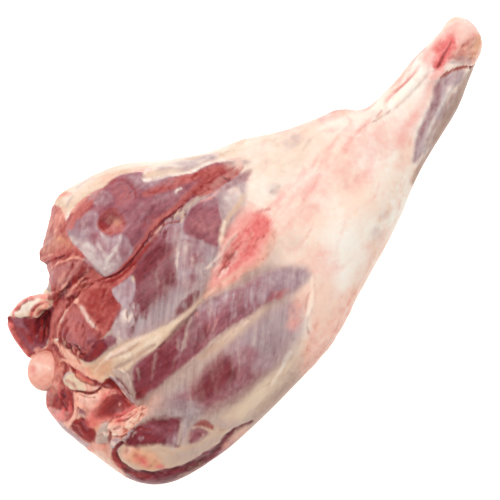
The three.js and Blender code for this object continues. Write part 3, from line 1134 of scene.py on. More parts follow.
# The sawn and cut faces at the front of the thigh, and the round stump beside the ball
CUT_FACES: list[Mark] = [
    patch(CUT, 1.6, 1, -134, 54, -130, 60, -124, 70, -126, 76, -118, 84, -106, 92, -96, 97, -88, 98, -90, 84,
        -98, 76, -100, 66, -99, 55, -101, 42, -96, 37, -84, 35, -79, 29, -103, 30, -104, 14, -116, 14, -124,
        11, -140, 11, -152, 12, -152, 32, -158, 35, -150, 44, -138, 51, lift=0.3, ragged=0.4),
    # upper cut face: salmon, brownish towards the top
    patch(PEACH, 8, 0.12, -122, 82, -108, 89, -100, 84, -101, 72, -108, 70, -114, 76, -122, 78),
    patch(TAN, 8, 0.3, -122, 80, -112, 88, -102, 88, -98, 76, -110, 74),
    patch(PEACH, 6, 0.4, -104, 90, -96, 94, -86, 92, -88, 85, -98, 83),
    patch(AMBER, 6, 0.28, -106, 82, -100, 80, -99, 70, -104, 68),
    line(BLOOD, 1.4, 2.5, 0.45, -92, 96, -87, 99, -81, 98, -76, 94),
    # middle cut face: brown-mauve, framed by a pale arc
    patch(MAUVE, 4, 0.5, -128, 64, -118, 66, -108, 63.5, -101, 56, -101, 48, -112, 52, -126, 54),
    line(BRICK, 1.2, 2.5, 0.35, -126, 64, -116, 65.5, -108, 63.5, -102.5, 57),
    line(PEACH, 0.7, 1.6, 0.6, -123, 67.5, -116, 66.8, -109, 65, -104, 61.5, -100.8, 54, ragged=0.3,
        lift=0.3),
    line(SILVER, 1.6, 2.2, 0.5, -101.5, 57, -100, 50, -100.5, 44),
    # the notch over it, with painted shade along its bottom
    line(BRICK, 1.8, 2.5, 0.7, -125, 73, -118, 71, -112, 68.5, -105, 66),
    line(CREVICE_SHADE, 0.8, 1.3, 0.45, -125, 73, -119, 71.5, -113, 69.3, -108, 68, ragged=0.6, lift=-0.6),
    line(PEACH, 1, 2, 0.35, -124, 77, -118, 76, -112, 73, lift=0.5),
    line(BRICK, 1.2, 2, 0.5, -125.5, 75, -121, 80, -116, 83.5),
    # crevices between it and the strip over the stump, with painted shade in them
    line(BRICK, 2.2, 3, 0.75, -136, 52, -126, 51.5, -116, 51.5, -104, 52),
    line(LEAN, 1.2, 1.8, 0.6, -135, 52.5, -126, 51.6, -117, 52, ragged=1, lift=-0.3),
    line(CREVICE_SHADE, 0.6, 1.2, 0.3, -134, 52.3, -126, 51.8, -118, 52.2, ragged=1, lift=-0.3),
    line(CREVICE_SHADE, 0.6, 1.2, 0.6, -113, 50.2, -109, 49.6, -106, 50.2, lift=-0.6),
    *threads(LEAN, 66, 9, 2, 7, 0.6, 1.2, 0.55, -132, 49, -130, 53, -106, 53, -106, 49, lift=-0.3),
    *threads(LEAN, 67, 12, -20, 6, 0.6, 1.3, 0.55, -130, 43, -128, 48, -108, 47, -106, 41, lift=-0.35),
    line(CREVICE_SHADE, 0.7, 1.2, 0.75, -117, 45, -112.5, 43.6, -108, 41.2, lift=-0.8),
    line(BRICK, 1.6, 2.2, 0.7, -119, 46.5, -112, 44.5, -106, 41, -102, 40),
    line(PEACH, 0.8, 1.8, 0.4, -128, 47.3, -120, 48.3, -114, 48.8, lift=0.5),
    line(PEACH, 0.8, 1.8, 0.3, -133, 54.5, -126, 55, -120, 54, lift=0.4),
    line(BRICK, 1, 1.6, 0.9, -132, 42, -128, 43.6, -124, 43, -118, 44, lift=-0.9),
    line(BRICK, 0.8, 1.4, 0.7, -128, 46, -122, 44.6, lift=-0.6),
    # strip over the stump
    patch(BLUSH, 4, 0.22, -150, 40, -138, 46.5, -130, 47, -133, 43.5, -146, 38),
    line(BRICK, 1.2, 2, 0.7, -157, 36, -150, 43.5, -140, 49, -132, 51),
    line(BRICK, 1.1, 1.8, 0.6, -156, 33, -151, 37.5, -144, 41, -135, 42.5, lift=-0.8),
    # the stump, with painted shade in the crinkles at its left side and along its lower edge
    patch(MAUVE, 5, 0.5, -146, 34, -139, 38, -131, 38, -127.5, 30, -129, 18, -134, 12, -142, 13, -147, 20,
        -148, 28, lift=0.6),
    patch(CUT, 8, 0.5, -142, 34, -134, 36, -131, 26, -134, 17, -141, 18),
    patch(BLUSH, 9, 0.12, -144, 34, -135, 37, -129, 32, -131, 18, -140, 15, -145, 22),
    patch(LEAN, 4, 0.35, -146, 16, -138, 12, -128, 12, -127, 16, -136, 17, -142, 20, patchy=0.5),
    line(PEACH, 0.8, 1.6, 0.4, -150, 31, -148, 35.5, -143, 38.5, -136, 40.3, -130, 41, lift=0.5),
    line(PALE_AND_HIGHLIGHT, 0.6, 1.3, 0.25, -142, 38.4, -137, 39.8, -132, 40.6),
    line(BRICK, 0.8, 1.5, 0.55, -149, 30, -147, 34, -142, 36.8, -135, 38.3, lift=-0.7),
    patch(BRICK, 2, 0.75, -152, 32, -149, 33, -146.5, 27, -146.5, 19, -144, 13, -148, 10, -152, 14,
        lumps=0.8),
    line(CREVICE_SHADE, 0.6, 1.3, 0.5, -149, 27, -149.5, 21, -147.5, 16, -144.5, 13, lift=-0.4, ragged=1),
    line(LEAN, 0.8, 1.8, 0.5, -147, 31, -146, 26, -146.5, 20, -143, 14, ragged=1, lift=-0.3),
    *threads(CREVICE_SHADE, 64, 16, 75, 5, 0.6, 1.3, 0.5, -152, 12, -152.5, 32, -146, 31, -145, 14, lift=-0.5),
    *threads(PEACH, 65, 9, 60, 3.5, 0.6, 1.3, 0.35, -151, 12, -151, 31, -146, 31, -144, 14, lift=0.4),
    patch(LEAN, 2, 1, -150, 12, -144, 12.5, -136, 11.5, -129, 12, -128, 6, -132, 2.5, -140, 4, -147, 6,
        lift=0.3),
    patch(BRICK, 2.5, 0.7, -148, 10.5, -140, 11, -131, 10, -132, 5, -140, 5.5, -146, 7),
    patch(MAUVE, 2, 0.9, -130, 11, -123, 10, -122, 4, -128, 1.5, -132, 4),
    line(CREVICE_SHADE, 0.7, 1.5, 0.4, -147, 11.8, -141, 12.2, -134, 12, -129, 13, lift=-0.3),
    line(BRICK, 1.3, 2, 0.7, -124, 12, -116, 14.5, -106, 14.5, lift=-0.2),
    # right block and the tendon between
    patch(BRICK, 5, 0.6, -122, 38, -108, 38, -103, 30, -103, 15, -114, 15, -125, 16),
    line(PEACH, 1.3, 3.4, 0.5, -124.8, 39, -125, 32, -126, 25, -127.4, 18, ragged=0.3, lift=0.2),
    line(PALE_AND_HIGHLIGHT, 1, 3.2, 0.55, -125, 36, -125.4, 31, -126.4, 24, -127, 20, ragged=0.2),
    spot(PEACH, 2, 1.8, 0.7, -124.6, 41, lift=0.7),
    *threads(PEACH, 43, 26, 10, 9, 0.7, 1.8, 0.14, -134, 54, -124, 70, -100, 62, -102, 42, -120, 42,
        lift=0.3),
    patch(PEACH, 7, 0.2, -124, 66, -106, 63, -102, 55, -110, 53, -122, 56),
    patch(PEACH, 5, 0.25, -102, 90, -92, 92, -89, 85, -96, 82, -103, 82),
    *threads(BRICK, 44, 38, 20, 8, 0.8, 1.8, 0.45, -150, 12, -150, 44, -128, 60, -100, 86, -104, 16,
        lift=-0.35),
    *threads(PEACH, 49, 22, 40, 6, 0.8, 2.2, 0.15, -122, 80, -104, 90, -98, 80, -112, 72, lift=0.2),
]


# The seam and the veiled muscles below it
INNER_THIGH: list[Mark] = [
    patch(SILVER, 6, 0.85, -125, 8, -116, 14, -104, 16, -90, 20, -60, 30, -30, 32, 0, 30, 14, 24, 10, 16, 0,
        10, -20, 4, -34, -4, -60, -14, -84, -14, -104, -6, -118, -2, patchy=0.15),
    # the long muscle, darkest below the seam
    patch(MAUVE, 6, 0.92, -92, 27, -82, 31, -76, 34, -60, 34, -45, 34, -40, 31, -44, 26, -50, 21, -56, 16,
        -63, 9, -70, 2, -78, -3, -92, -2, -104, 2, -103, 11, -94, 17, patchy=0.05),
    patch(LEAN, 9, 0.9, -101, 6, -94, 18, -84, 29, -60, 33, -52, 24, -62, 12, -74, 1, -90, 0),
    patch(ASH, 9, 0.15, -98, 6, -88, 16, -72, 12, -66, 6, -78, 0),
    line(MAUVE, 2, 4, 0.5, -78, 29.5, -66, 31.5, -54, 32, -46, 31),
    patch(SILVER, 9, 0.4, -98, 2, -84, 5, -72, 4, -68, 0, -80, -4, -96, -3),
    patch(SILVER, 7, 0.4, -52, 34, -44, 30, -48, 22, -56, 24),
    # the pinker muscle to its right
    patch(MAUVE, 1.8, 1, -43, 21, -38, 28, -28, 31.5, -19, 30, -9, 25, -13, 20, -17, 14, -20, 9, -26, 5, -31,
        0.5, -35, 1.5, -36, 8, -40, 15, ragged=0.3, lift=0.4),
    patch(BLUSH, 9, 0.16, -36, 24, -24, 26, -20, 16, -28, 8, -34, 12),
    patch(LEAN, 7, 0.3, -42, 22, -34, 26, -30, 16, -34, 4, -38, 12),
    patch(SILVER, 6, 0.4, -20, 30, -8, 26, -12, 20, -20, 22),
    # pale membrane past it, and the fat edge under it
    patch(PALE_AND_HIGHLIGHT, 3, 0.5, -19, 9, -15, 15, -11, 20, -4, 23, 4, 21, 4, 14, -5, 11.5, -13, 9.5, patchy=0.3),
    patch(SILVER, 4, 0.35, -16, 14, -8, 20, 0, 20, 0, 14, -8, 12, patchy=0.3),
    line(CREAM, 1.6, 2.2, 0.85, -31, 0, -26, 4, -19, 8.5, -12, 10.5, -4, 11.5, 4, 13, lift=0.5),
    line(PALE_AND_HIGHLIGHT, 0.8, 1.5, 0.7, -29, 1.5, -24, 5.5, -18, 9.5, lift=0.3),
    # veils between the two
    patch(SILVER, 3.5, 0.85, -69, 2, -63, 9, -56, 16, -49, 21, -42, 18, -37, 8, -38, -4, -56, -8, patchy=0.2),
    patch(MAUVE, 9, 0.6, -60, 8, -50, 18, -42, 14, -40, 4, -52, 0, patchy=0.2),
    patch(ASH, 7, 0.7, -60, -2, -50, 4, -38, 2, -36, -8, -56, -12, patchy=0.2),
    patch(ASH, 8, 0.6, -100, 2, -84, 4, -70, 1, -66, -6, -84, -10, -100, -4),
    patch(MAUVE, 6, 0.35, -72, -2, -62, 2, -56, -4, -66, -8),
    line(FELL, 0.7, 1.8, 0.3, -70, 1, -63, 8.5, -56, 15.5, -50, 20, -44, 25.5, lift=0.3),
    line(PALE_AND_HIGHLIGHT, 0.7, 1.6, 0.5, -62, 9.5, -57, 14, -54, 17, lift=0.2),
    line(MAUVE, 1.6, 4, 0.5, -53, 14, -49, 7, -46, 0),
    line(MAUVE, 1, 3, 0.4, -47, 20, -43, 16, -40, 10),
    # lilac pad beside the cut block
    patch(SILVER, 1.8, 0.95, -104, 31, -96, 30, -86, 27, -88, 22, -93, 16, -99, 13, -105, 15, ragged=0.3),
    patch(MAUVE, 5, 0.35, -98, 28, -90, 25, -93, 18, -99, 20),
    line(CREAM, 0.8, 1.4, 0.8, -90, 21, -88, 24, -86.5, 26, lift=0.5, ragged=0.7),
    # red meat under the seam
    line(CUT, 3.4, 2.5, 0.95, -103, 34, -94, 32, -86, 31, -78, 32),
    line(BRICK, 2, 2.5, 0.9, -102, 36.5, -94, 33.5, -84, 32.5, -74, 33, -64, 34.5),
    line(BRICK, 1.8, 3.5, 0.45, -78, 32, -66, 32.5, -56, 34),
    patch(CUT, 2.4, 0.85, -22, 38, -4, 38, 10, 34, 19, 26, 8, 25.5, -6, 27, -16, 31),
    line(BRICK, 1, 3, 0.5, -20, 36.5, -4, 34.5, 8, 32.5, 18, 28),
    line(BLUSH, 0.7, 1.5, 0.5, -20, 30, -14, 27, -6, 26, lift=0.3),
    patch(MAUVE, 3, 0.6, -6, 27, 4, 26, 14, 24.5, 19, 21, 14, 18, 4, 21, -6, 24),
    line(LEAN, 0.9, 1.8, 0.6, 2, 31, 3.5, 28, 2, 26, lift=-0.6),
    # small dark patch above the ridge of fat
    patch(LEAN, 3.5, 0.8, -87, -12.5, -83, -9, -77, -8, -69, -7.5, -62, -11, -65, -15, -77, -15.5),
    spot(SILVER, 1.8, 2.5, 0.75, -76, -11),
    line(FELL, 0.8, 1.8, 0.5, -70, -15, -64, -11, -60, -7, lift=0.3),
    # glistening shreds beside the stump, the pale on them partly painted glints
    patch(PALE_AND_HIGHLIGHT, 3, 0.12, -124, 3, -114, 11, -106, 14.5, -103, 12, -110, 5, -118, 0, -126, -1, patchy=1),
    patch(MAUVE, 4, 0.4, -118, 6, -110, 8, -106, 3, -112, -2, -120, -1, patchy=0.5),
    patch(ASH, 3, 0.5, -108, 9, -100, 13, -95, 11, -100, 5, -107, 4, patchy=0.8),
    patch(ASH, 5, 0.6, -112, 4, -102, 6, -96, 2, -104, -3, -114, -2, patchy=0.3),
    *threads(LEAN, 73, 10, 35, 6, 0.7, 1.6, 0.4, -112, 0, -104, 12, -96, 14, -98, 2, lift=-0.4),
    line(PALE_AND_HIGHLIGHT, 0.6, 1.3, 0.6, -108, 7, -103, 9, -98, 12, lift=0.3, ragged=0.9),
    # torn membrane at the seam
    patch(SILVER, 3, 0.45, -54, 33, -46, 36, -38, 37, -30, 36.5, -27, 33.5, -34, 30, -40, 27, -45, 28, -50,
        30, lift=0.4, lumps=0.8, patchy=0.6),
    patch(MAUVE, 4, 0.5, -44, 34, -38, 35, -38, 30, -43, 30),
    patch(MAUVE, 4, 0.55, -54, 33, -46, 35, -44, 30, -50, 26, -56, 29),
    *threads(LEAN, 79, 10, 25, 6, 0.6, 1.4, 0.5, -54, 30, -50, 36, -30, 37, -34, 30, lift=-0.4),
    line(CUT, 0.9, 1.8, 0.5, -48, 35, -43, 33, -39, 30, lift=-0.5),
    line(CREAM, 0.8, 1.5, 0.6, -41, 33.5, -37.5, 36.5, -34, 38, lift=0.8, ragged=0.8),
    line(CREAM, 0.9, 1.4, 0.4, -39, 28.5, -36, 31, -33.5, 34, lift=0.6),
    line(PEACH, 0.7, 1.4, 0.6, -58, 36.5, -55, 38, -52, 37, lift=0.5),
    line(PEACH, 0.7, 1.4, 0.4, -56, 35, -51, 35.2, -47, 37, lift=0.5),
    # the seam, its darkest line painted shade
    line(CUT, 2, 3, 0.7, -101, 38.5, -92, 35.3, -75, 35, -60, 37.5, -44, 38.5, -25, 38, -8, 37, 8, 34,
        lift=-0.2),
    line(BRICK, 1, 2.4, 0.5, -60, 37, -50, 37.6, -40, 38, -28, 37.8, -16, 37),
    line(BRICK, 0.8, 1.6, 0.9, -102, 40.3, -96, 36.9, -90, 35.2, -80, 34.5, -72, 35, -64, 36.6, ragged=0.3,
        lift=-0.2, taper=False),
    line(CREVICE_SHADE, 0.6, 1.2, 0.7, -101, 39.4, -96, 36.6, -90, 35, -80, 34.3, -72, 34.8, -67, 35.6, ragged=0.3,
        lift=-0.3),
    line(LEAN, 0.7, 1.6, 0.7, -66, 36, -56, 37.4, -50, 36.8, -40, 37.5, -28, 37, -14, 35.5, ragged=0.7,
        lift=-0.6),
    *threads(FELL, 45, 34, 42, 13, 0.8, 2, 0.18, -100, 0, -60, 30, -44, 24, -36, 0, -70, -12, lift=0.15),
    *threads(PALE_AND_HIGHLIGHT, 46, 16, 45, 9, 0.7, 1.8, 0.2, -66, 0, -50, 20, -38, 12, -44, -6),
    *threads(LEAN, 47, 26, 35, 13, 0.9, 2.4, 0.25, -100, 4, -88, 26, -50, 32, -60, 12),
    *threads(FELL, 48, 18, 8, 16, 0.8, 1.8, 0.4, -62, -12, -34, -2, -14, 4, -30, -10, -50, -16, lift=0.25),
    *threads(MAUVE, 40, 16, 50, 9, 0.9, 2.6, 0.3, -66, -6, -40, 14, -36, 0, -56, -10),
]


# The long muscles of the back of the thigh, with bands of fat between
BACK_THIGH: list[Mark] = [
    # fat round the stump, running out as a ridge
    patch(CREAM, 2.5, 1, -158, 34, -152, 36, -151, 20, -150, 11, -145, 5, -138, 3, -130, 0, -122, 0, -112, -5,
        -100, -9, -90, -13, -78, -17, -104, -17.5, -112, -18, -122, -14, -132, -15, -140, -12, -150, -10,
        -154, 4, -157, 14, lift=0.4, ragged=0.4),
    line(CREAM, 1.2, 2.4, 0.7, -92, -13.5, -80, -16.2, -68, -17.5, -56, -18, lift=0.4),
    line(PALE_AND_HIGHLIGHT, 1.2, 2.5, 0.5, -148, 0, -138, 0, -128, -2.5, -118, -4.5, -106, -8.5, lift=0.4),
    line(PALE_AND_HIGHLIGHT, 0.9, 2.2, 0.5, -130, -6, -120, -10, -110, -12, -100, -13.5, lift=0.4),
    line(FELL, 1.2, 2.5, 0.7, -138, -8, -128, -11, -118, -13, -108, -15.5, lift=-0.4),
    # tan in the groove, partly painted shade
    line(TAN, 0.8, 2, 0.4, -136, -2, -126, -5, -114, -8, lift=-0.3),
    patch(AMBER, 7, 0.7, -152, 9, -143, 3, -135, -4, -142, -9, -152, -6, -155, 4),
    # first long muscle: dark red at the left, veiled lilac at the right
    patch(MAUVE, 3, 1, -145, -34, -139, -27, -131, -15.5, -122, -15, -114, -18, -100, -19.5, -80, -20.5, -62,
        -21, -50, -25, -40, -28, -24, -34, -12, -42, -10, -50, -16, -54, -30, -51.5, -44, -47.5, -56, -43.5,
        -80, -40.5, -105, -38.5, -125, -37, ragged=0.3, lift=0.5),
    patch(SILVER, 14, 0.5, -60, -24, -42, -29, -24, -35, -10, -44, -8, -52, -24, -50, -44, -44, -60, -36,
        patchy=0.15),
    patch(SILVER, 8, 0.95, -30, -33, -12, -39, 0, -48, -2, -57, -18, -57, -26, -46, patchy=0.15),
    patch(SILVER, 7, 0.45, -52, -40, -38, -38, -24, -46, -34, -50, -48, -46),
    patch(LEAN, 6, 0.85, -145, -33.5, -131, -16, -112, -19, -84, -21, -72, -26, -76, -37, -100, -38, -125,
        -36.5),
    patch(MAUVE, 8, 0.55, -108, -30, -92, -30, -80, -34, -84, -40, -104, -38),
    patch(SILVER, 8, 0.2, -98, -26, -84, -24, -74, -28, -84, -35, -98, -34),
    patch(BRICK, 5, 0.55, -145, -34, -138, -26, -128, -30, -134, -36),
    patch(MAUVE, 9, 0.6, -66, -25, -46, -28, -38, -34, -44, -44, -64, -40),
    patch(LEAN, 7, 0.2, -56, -28, -46, -29, -44, -40, -54, -40),
    patch(CUT, 5, 0.45, -40, -48, -28, -46.5, -16, -51, -24, -54),
    # painted shade under the ridge of fat
    line(CREVICE_SHADE, 0.8, 2, 0.6, -108, -18.5, -96, -18.7, -84, -19.3, -72, -19.6, lift=-0.5),
    line(LEAN, 1.4, 3, 0.5, -122, -17, -112, -20, -98, -20.5, -84, -21.5),
    line(FELL, 0.8, 1.5, 0.75, -99, -31, -92, -27, -85, -23, -79, -20.5, lift=0.4),
    line(FELL, 0.7, 1.4, 0.25, -96, -31, -90, -28, -85, -25.5, lift=0.3),
    line(FELL, 0.7, 1.6, 0.4, -126, -31, -120, -26, -112, -19.5, lift=0.3),
    line(FELL, 0.7, 1.6, 0.4, -132, -24, -127, -18),
    line(BLUSH, 0.7, 1.4, 0.25, -78, -34, -73, -31, lift=0.2),
    line(BLUSH, 0.7, 1.4, 0.25, -74, -36, -69, -33.5, -65, -32, lift=0.2),
    patch(SILVER, 4, 0.45, -80, -20, -66, -19, -52, -22, -50, -27, -64, -25, -76, -23, patchy=0.3),
    line(BLUSH, 1, 2, 0.4, -76, -21, -72, -22.5),
    # fat between the muscles
    patch(CREAM, 6, 0.7, -96, -42, -76, -43, -60, -45, -34, -50.5, -44, -52.5, -64, -51, -84, -48),
    patch(PALE_AND_HIGHLIGHT, 3, 0.3, -80, -44, -60, -46, -40, -50, -50, -48, -70, -45.5, lift=0.3),
    line(PALE_AND_HIGHLIGHT, 0.8, 1.8, 0.3, -104, -39.5, -80, -41.5, -56, -44.5, -40, -49),
    patch(PEACH, 7, 0.35, -146, -38, -134, -37.5, -126, -41, -134, -50, -146, -47),
    patch(ASH, 9, 0.55, -144, -46, -130, -43, -112, -44, -110, -52, -122, -72, -136, -70, -138, -56),
    patch(MAUVE, 9, 0.4, -138, -48, -126, -44, -114, -50, -116, -68, -128, -60),
    # second long muscle under its veil
    patch(MAUVE, 12, 0.85, -126, -54, -112, -50, -95, -51, -80, -52, -70, -53, -60, -54, -48, -58, -44, -68,
        -54, -78, -70, -80, -85, -79, -100, -77, -114, -73, -124, -64, lift=0.4),
    patch(LEAN, 12, 0.85, -114, -54, -92, -52, -74, -54, -76, -63, -90, -70, -112, -67),
    patch(LEAN, 5, 0.3, -112, -69, -98, -70, -98, -75, -110, -74),
    patch(SILVER, 11, 0.85, -78, -50, -50, -52, -28, -55, -20, -60, -24, -70, -34, -78, -50, -80, -68, -81,
        -76, -68),
    patch(MAUVE, 12, 0.45, -72, -56, -50, -58, -36, -62, -40, -73, -64, -78),
    patch(ASH, 10, 0.7, -66, -54, -48, -55, -34, -58, -30, -66, -40, -74, -58, -76, -64, -66),
    patch(MAUVE, 8, 0.5, -80, -56, -68, -56, -62, -64, -72, -74, -80, -68),
    patch(ASH, 8, 0.6, -134, -50, -118, -52, -114, -70, -124, -72, -134, -66),
    line(FELL, 0.7, 1.6, 0.4, -82, -68, -76, -63, -71, -58, -66, -52, lift=0.3),
    line(FELL, 0.8, 1.6, 0.45, -62, -62, -57, -58, -52, -54, lift=0.3),
    # fat at the back edge and towards the knee
    patch(PEACH, 7, 0.4, -28, -60, -16, -57, -6, -60, -14, -68, -24, -73, -38, -71, -34, -64),
    patch(BLUSH, 6, 0.35, -40, -68, -32, -66, -30, -74, -38, -76),
    patch(CREAM, 7, 0.85, -114, -80, -90, -82, -60, -84, -50, -88, -70, -92, -110, -91),
    patch(SILVER, 6, 0.3, -118, -82, -106, -84, -104, -92, -116, -92),
    line(PALE_AND_HIGHLIGHT, 1.2, 3, 0.35, -72, -90, -62, -86.5, -54, -84, -46, -82, lift=0.3),
    patch(PEACH, 9, 0.6, -56, -94, -34, -84, -27, -79, -14, -70, -2, -62, 30, -68, 60, -70, 30, -86, 0, -100,
        -50, -108),
    patch(PALE_AND_HIGHLIGHT, 9, 0.7, 0, -66, 20, -62, 44, -64, 60, -68, 40, -80, 8, -88),
    patch(PALE_AND_HIGHLIGHT, 10, 0.5, -26, -76, -14, -66, -2, -56, 20, -62, 40, -72, 10, -80, -14, -86),
    line(PALE_AND_HIGHLIGHT, 1.2, 2, 0.7, -29.5, -81, -27, -75.5, -21, -72, -14, -68, -8, -62, -3, -57, lift=0.7),
    # tan in the groove under the pale ridge, partly painted shade
    line(TAN, 1.1, 2, 0.4, -31, -82, -28.5, -77, -24, -74, lift=-0.4),
    # blood-stained fat over the thigh bone
    patch(PEACH, 6, 0.75, -66, -17, -54, -20, -36, -24, -24, -28, -4, -26, 4, -18, -10, -14, -40, -16),
    patch(BLUSH, 6, 0.9, -58, -15, -46, -20, -34, -22, -20, -24, -4, -20, 4, -14, 3, -2, -6, 4, -16, 6, -26,
        1, -38, -6, -50, -11),
    patch(BLOOD, 9, 0.75, -42, -14, -32, -9, -20, -6, -8, -2, 3, 0, 5, -13, -4, -18, -18, -20, -32, -19,
        patchy=0.15),
    patch(BLOOD, 7, 0.75, -22, -12, -10, -8, 4, -8, 6, -14, -8, -17),
    patch(BLUSH, 4, 0.6, -28, 2, -18, 5.5, -8, 8, 0, 8, 4, 2, -4, 0, -16, -2),
    line(CREAM, 0.8, 1.8, 0.5, -48, -17.5, -40, -19, -30, -20, lift=0.2),
    line(CUT, 1.1, 2.4, 0.65, -38, -12.5, -33, -11.5, -26, -11, lift=-0.3),
    line(CUT, 0.8, 1.6, 0.7, -16, -16, -11, -15, -5, -17.5, lift=-0.4),
    line(FELL, 0.9, 1.8, 0.6, -56, -6, -46, -7, -36, -6.5, -26, -4, -18, -2, lift=0.2),
    line(PALE_AND_HIGHLIGHT, 0.7, 1.6, 0.35, -52, -4, -42, -5, -32, -4, -22, -1, lift=0.3),
    line(PALE_AND_HIGHLIGHT, 0.7, 1.6, 0.3, -46, -9, -36, -8.5, -28, -8.5, -20, -7, lift=0.2),
    *threads(FELL, 51, 20, 38, 13, 0.8, 2, 0.22, -136, -30, -120, -16, -60, -22, -10, -44, -10, -54, -50, -44,
        -110, -37, lift=0.15),
    *threads(SILVER, 52, 30, 38, 9, 0.8, 1.8, 0.4, -80, -24, -50, -26, -20, -38, -10, -50, -30, -50, -60, -42,
        lift=0.15),
    *threads(FELL, 53, 44, 44, 14, 0.8, 2.4, 0.1, -124, -54, -60, -54, -36, -58, -40, -76, -114, -76,
        lift=0.15),
    *threads(LEAN, 54, 18, 22, 12, 0.9, 2.4, 0.3, -140, -32, -120, -18, -60, -26, -64, -40, lift=-0.1),
    *threads(BLOOD, 55, 30, 4, 13, 0.8, 2, 0.45, -52, -16, -30, -6, -4, 0, -2, -18, -34, -20, lift=-0.1),
    *threads(PALE_AND_HIGHLIGHT, 56, 8, 4, 13, 0.8, 1.8, 0.3, -60, -14, -30, -4, -10, 2, -14, -12, -34, -18, lift=0.2),
    *threads(CUT, 60, 10, 2, 9, 0.8, 2, 0.4, -44, -14, -30, -6, -10, -6, -14, -14),
    *threads(CUT, 74, 16, 4, 9, 0.6, 1.6, 0.45, -50, -8, -50, -14, -28, -15, -28, -7, lift=-0.2),
]


